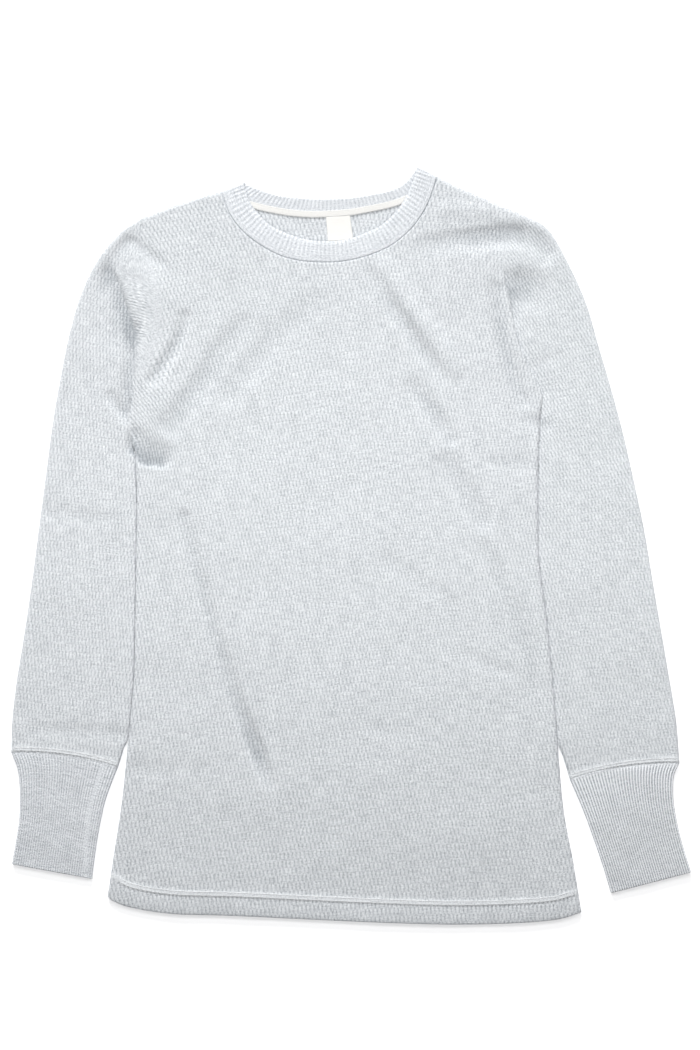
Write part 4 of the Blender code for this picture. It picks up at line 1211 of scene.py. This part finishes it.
def make_collar():
    """A ring of ribs: its outer face, its edge at the opening, and its inner face."""
    front, back = COLLAR_RIBS * RIB_COLUMNS, COLLAR_BACK_RIBS * RIB_COLUMNS
    front_edge = in_steps(smooth(OPENING_FRONT), front)
    back_edge = in_steps(smooth(OPENING_BACK), back)
    seam = np.vstack([straight_across(front_edge, NECK_FRONT_LINE)[:-1],
                      straight_across(back_edge, NECK_BACK_LINE)[:0:-1]])
    edge = np.vstack([front_edge[:-1], back_edge[:0:-1]])
    count = front + back
    over = np.arange(count) < front
    ribs = rib_profile(count)
    fold_lines = [np.array([NECK_LEFT, OPENING_LEFT]), np.array([NECK_RIGHT, OPENING_RIGHT])]
    width = np.linalg.norm(edge - seam, axis=1)
    heading = unit(edge - seam)
    face = width - COLLAR_RIM

    def row_at(reach, inner):
        """Points at a distance from the seam, on the outer or the inner face."""
        plan = seam + (edge - seam) * (np.minimum(reach, face) / width)[:, None]
        turn = turn_at(plan, fold_lines)
        raised = COLLAR_RIB_DEPTH * ribs * grown(reach, COLLAR_PLAIN - 1, COLLAR_PLAIN + 1.5)
        top = NECK_SEAM_LEVEL + (lie(plan) - NECK_SEAM_LEVEL) * rolled(reach / NECK_SEAM_REACH)
        top -= 0.5 * (1 - rolled((face - np.minimum(reach, face)) / 1.5))
        if not inner:
            upper = top + raised
            lower = (COLLAR_RIB_DEPTH - raised) * turn
        else:
            upper = top - CLOTH
            lower = (CLOTH - COLLAR_RIB_DEPTH + raised) * turn
            lower -= 0.8 * (1 - rolled(reach / 2.0)) * turn
            plan = plan + unit(NECK_MIDDLE - plan) * (CLOTH * (1 - turn))[:, None]
        return np.column_stack([plan, np.where(over, FOLD_LEVEL + (upper - FOLD_LEVEL) * turn,
                                               FOLD_LEVEL * (1 - turn) + lower)])

    stations = [np.full(count, distance) for distance in COLLAR_ROWS]
    stations += [COLLAR_ROWS[-1] + (face - COLLAR_ROWS[-1]) * share
                 for share in np.linspace(0, 1, 9)[1:]]
    rings = [row_at(station, False) for station in stations]
    last_out, last_in = rings[-1], row_at(stations[-1], True)
    for share in (0.2, 0.5, 0.8):
        bulge = (COLLAR_RIM + 0.15 * (ribs - 0.5)) * sin(pi * share)
        row = last_out + (last_in - last_out) * share
        row[:, :2] += heading * bulge[:, None]
        rings.append(row)
    rings += [row_at(station, True) for station in stations[::-1]]
    places = np.vstack(rings)
    along = reached([np.linalg.norm(b[10] - a[10]) for a, b in zip(rings, rings[1:])])
    faces, grains = grid_faces(ring_numbers(len(rings), count),
                               np.arange(count + 1) / RIB_COLUMNS, along)
    from_seam = to_line(places[:, :2], closed(seam), 12).distance
    shown = 0.15 + 0.85 * grown(from_seam, COLLAR_PLAIN - 1, COLLAR_PLAIN + 2)
    return make_piece("collar_ring", places, faces, grains,
                      rib_finish("collar rib", shade_and_depth=0.22, light=0.6, speckled=0.8),
                      ["collar"], "collar_rib", {"shown": shown})


def strip_piece(name, rows, finish, nodes, slot):
    """A thin closed strip: rows of (plan points, height) once round its section."""
    places = np.vstack([np.column_stack([plan, np.broadcast_to(height, len(plan))])
                        for plan, height in rows])
    numbers = np.arange(len(places)).reshape(len(rows), -1)
    run = runs(rows[0][0])
    across = reached([max(np.linalg.norm(a[0][0] - b[0][0]), 0.4)
                      for a, b in zip(rows, rows[1:] + rows[:1])])
    faces, grains = grid_faces(closed(numbers), run, across)
    faces += [numbers[:, 0].tolist(), numbers[::-1, -1].tolist()]
    ends = [(run[0], 0.0)] * len(rows) + [(run[-1], 0.0)] * len(rows)
    return make_piece(name, places, faces, np.vstack([grains, ends]), finish, nodes, slot)


def tape_line():
    run = runs(NECK_BACK_LINE)[-1]
    return at_distances(NECK_BACK_LINE, np.linspace(TAPE_ENDS[0], run - TAPE_ENDS[1], 110))


def make_neck_tape():
    line = tape_line()
    low = CLOTH + REST_GAP - 0.1
    rows = [(shifted(line, across * TAPE_WIDTH / 2), low + height)
            for across, height in TAPE_SECTION]
    finish = woven_finish("neck tape weave", TAPE_DARK, TAPE_LIGHT, 0.9)
    return strip_piece("neck_tape_strip", rows, finish, ["neck_tape"], "neck_tape_weave")


def make_label():
    top_left, top_right, low_right, low_left = (np.array(corner) for corner in LABEL_CORNERS)
    share = np.linspace(0, 1, 25)
    left = low_left + (top_left - low_left) * share[:, None]
    right = low_right + (top_right - low_right) * share[:, None]
    section = [(0.0, 0.1), (0.004, 0.3), (0.02, 0.4)]
    section += [(across, 0.42 + 0.08 * sin(across * 6)) for across in np.linspace(0.06, 0.94, 12)]
    section += [(0.98, 0.4), (0.996, 0.3), (1.0, 0.1)]
    section += [(across, 0.0) for across in np.linspace(0.9, 0.1, 6)]
    rows = []
    for across, height in section:
        curl = 0.35 * (1 - share)**2 + 0.15 * (2 * across - 1)**2 * (1 - share)
        rows.append((left + (right - left) * across, CLOTH + REST_GAP + height + curl))
    finish = woven_finish("label weave", LABEL_DARK, LABEL_LIGHT, 0.35, roughness=0.55,
                          sheen=0.1, specular=0.4)
    return strip_piece("label_strip", rows, finish, ["label"], "label_weave")


# ---- sewing

def make_threads(name, lines, length, gap, radius, finish, slot):
    """Short threads that dip into the cloth at both ends, along lines of (x, up, height)."""
    along, thick, lift = np.array(THREAD_PROFILE).T[:, :, None]
    angle = 2 * pi * np.arange(THREAD_SIDES) / THREAD_SIDES
    ahead = (length * along + 0 * angle)[..., None]
    beside = (radius * thick * np.cos(angle))[..., None]
    above = radius * (thick * np.sin(angle) + lift)
    places = []
    for line in lines:
        middles = np.arange(length / 2, runs(line)[-1] - length / 2, length + gap)
        start, end = (at_distances(line, middles + half) for half in (-length / 2, length / 2))
        number = np.arange(len(middles))[:, None]
        heading = unit(end - start)
        sideways = unit(leftwards(heading))
        centre = (start + end) / 2 + sideways * 0.12 * np.sin(number * 2.4)
        heading = unit(heading + sideways * 0.06 * np.sin(number * 1.7))
        grid = (centre[:, None, None] + heading[:, None, None] * ahead
                + leftwards(heading)[:, None, None] * beside)
        grid[..., 2] += above
        places.append(grid.reshape(-1, 3))
    places = np.vstack(places)

    stations = len(THREAD_PROFILE)
    numbers = ring_numbers(stations, THREAD_SIDES)
    faces, grains = grid_faces(numbers, range(THREAD_SIDES + 1), range(stations))
    faces += [numbers[0, -2::-1].tolist(), numbers[-1, :-1].tolist()]
    grains = np.vstack([grains[:, ::-1], np.zeros((2 * THREAD_SIDES, 2))])
    starts = range(0, len(places), stations * THREAD_SIDES)
    return make_piece(name, places, [[start + corner for corner in face]
                                     for start in starts for face in faces],
                      np.tile(grains, (len(starts), 1)), finish, (), slot)


def on_face(line, height_of, above):
    line = spaced(line, 1.0)
    return np.column_stack([line, height_of(line) + above])


def make_sewing(finish):
    """The rows of thread at the hem, tape and cuffs."""
    rows = [on_face(shifted(HEM_LINE, away)[2:-2], front_height, 0.1) for away in HEM_ROWS]
    hem = make_threads("hem_stitches", rows, 2.6, 0.5, 0.32, finish, "front_knit")
    line = tape_line()
    rows = [np.column_stack([shifted(line, away), np.full(len(line), CLOTH + 0.88)])
            for away in TAPE_ROWS]
    tape = make_threads("neck_tape_stitches", rows, 2.0, 0.6, 0.2, finish, "neck_tape_weave")
    cuffs = {}
    for side, table, upward in (("left", SLEEVE_LEFT, -1), ("right", SLEEVE_RIGHT, 1)):
        seam, sections = cuff_seam(table), sections_of(table)

        def sleeve_height(points):
            height = sunk(lie(points), points, seam, CUFF_SEAM_LEVEL, CUFF_SEAM_REACH)
            return turned_down(height, points, [sections[:, :2], sections[:, 2:]])

        rows = [on_face(shifted(seam, upward * away)[1:-1], sleeve_height, 0.35)
                for away in CUFF_ROWS]
        cuffs[side] = make_threads("cuff_" + side + "_stitches", rows, 2.4, 0.5, 0.3, finish,
                                   "cuff_" + side + "_rib")
    return hem, tape, cuffs


# ---- the room, in metres

CAMERA_PLACE = (-0.0005, 0.019, 3.0)
CAMERA_TO_CLOTH = 2.994
PICTURE_HEIGHT = 0.9975     # seen at that distance
SENSOR = 36
LIGHTS = (                  # name, place, aim, width, depth, power
    ("window", (-0.6, 4.08, 2.2), (0, 0.1, 0), 1.6, 1.6, 225),
    ("overhead", (0, 0.08, 0.7), (0, 0.08, 0), 1.4, 0.25, 4.2),
)
WHITE = (1.0, 1.0, 1.0, 1)
FLOOR_REACH = 3
FLOOR_LEVEL = -0.0003


def make_room():
    scene = bpy.context.scene
    scene.view_settings.view_transform = "Standard"
    camera = bpy.data.objects.new("camera", bpy.data.cameras.new("camera"))
    camera.location = CAMERA_PLACE
    camera.data.sensor_width = SENSOR
    camera.data.lens = SENSOR * CAMERA_TO_CLOTH / PICTURE_HEIGHT
    camera.data.clip_end = 20
    scene.collection.objects.link(camera)
    scene.camera = camera

    world = bpy.data.worlds.new("white room")
    world.use_nodes = True
    world.node_tree.nodes["Background"].inputs["Color"].default_value = WHITE
    world.node_tree.nodes["Background"].inputs["Strength"].default_value = 0.2
    scene.world = world

    for name, place, aim, wide, deep, power in LIGHTS:
        light = bpy.data.objects.new(name, bpy.data.lights.new(name, "AREA"))
        light.data.shape = "RECTANGLE"
        light.data.size, light.data.size_y = wide, deep
        light.data.energy = power
        light.location = place
        light.rotation_euler = (Vector(aim) - Vector(place)).to_track_quat("-Z", "Y").to_euler()
        scene.collection.objects.link(light)

    mesh = bpy.data.meshes.new("floor")
    corners = ((-1, -1), (1, -1), (1, 1), (-1, 1))
    mesh.from_pydata([(x * FLOOR_REACH, y * FLOOR_REACH, FLOOR_LEVEL) for x, y in corners], [],
                     [(0, 1, 2, 3)])
    finish = bpy.data.materials.new("pale floor")
    finish.use_nodes = True
    for socket, value in (("Base Color", (0.86, 0.86, 0.87, 1)), ("Roughness", 1.0),
                          ("Specular IOR Level", 0.0), ("Emission Color", WHITE),
                          ("Emission Strength", 0.5)):
        finish.node_tree.nodes["Principled BSDF"].inputs[socket].default_value = value
    mesh.materials.append(finish)
    floor = bpy.data.objects.new("floor", mesh)
    scene.collection.objects.link(floor)


def main():
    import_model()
    make_room()
    front, back = make_front(), make_back()
    sleeve_left = make_sleeve("left", SLEEVE_LEFT, sleeve_left_grain, CRESCENT)
    sleeve_right = make_sleeve("right", SLEEVE_RIGHT, sleeve_right_grain)
    # The two cuffs are the same rib knit: the right one is painted lighter to stand in for the
    # light that falls off there, and each has its own strength of painted shade between its ribs.
    cuff_left = make_cuff("left", CUFF_LEFT, rib_finish("cuff left rib", 0.42, 0.56))
    cuff_right = make_cuff("right", CUFF_RIGHT, rib_finish("cuff right rib", 1.0, 0.72))
    collar, tape, label = make_collar(), make_neck_tape(), make_label()
    hem, tape_stitches, cuff_stitches = make_sewing(thread_finish("thread"))


main()
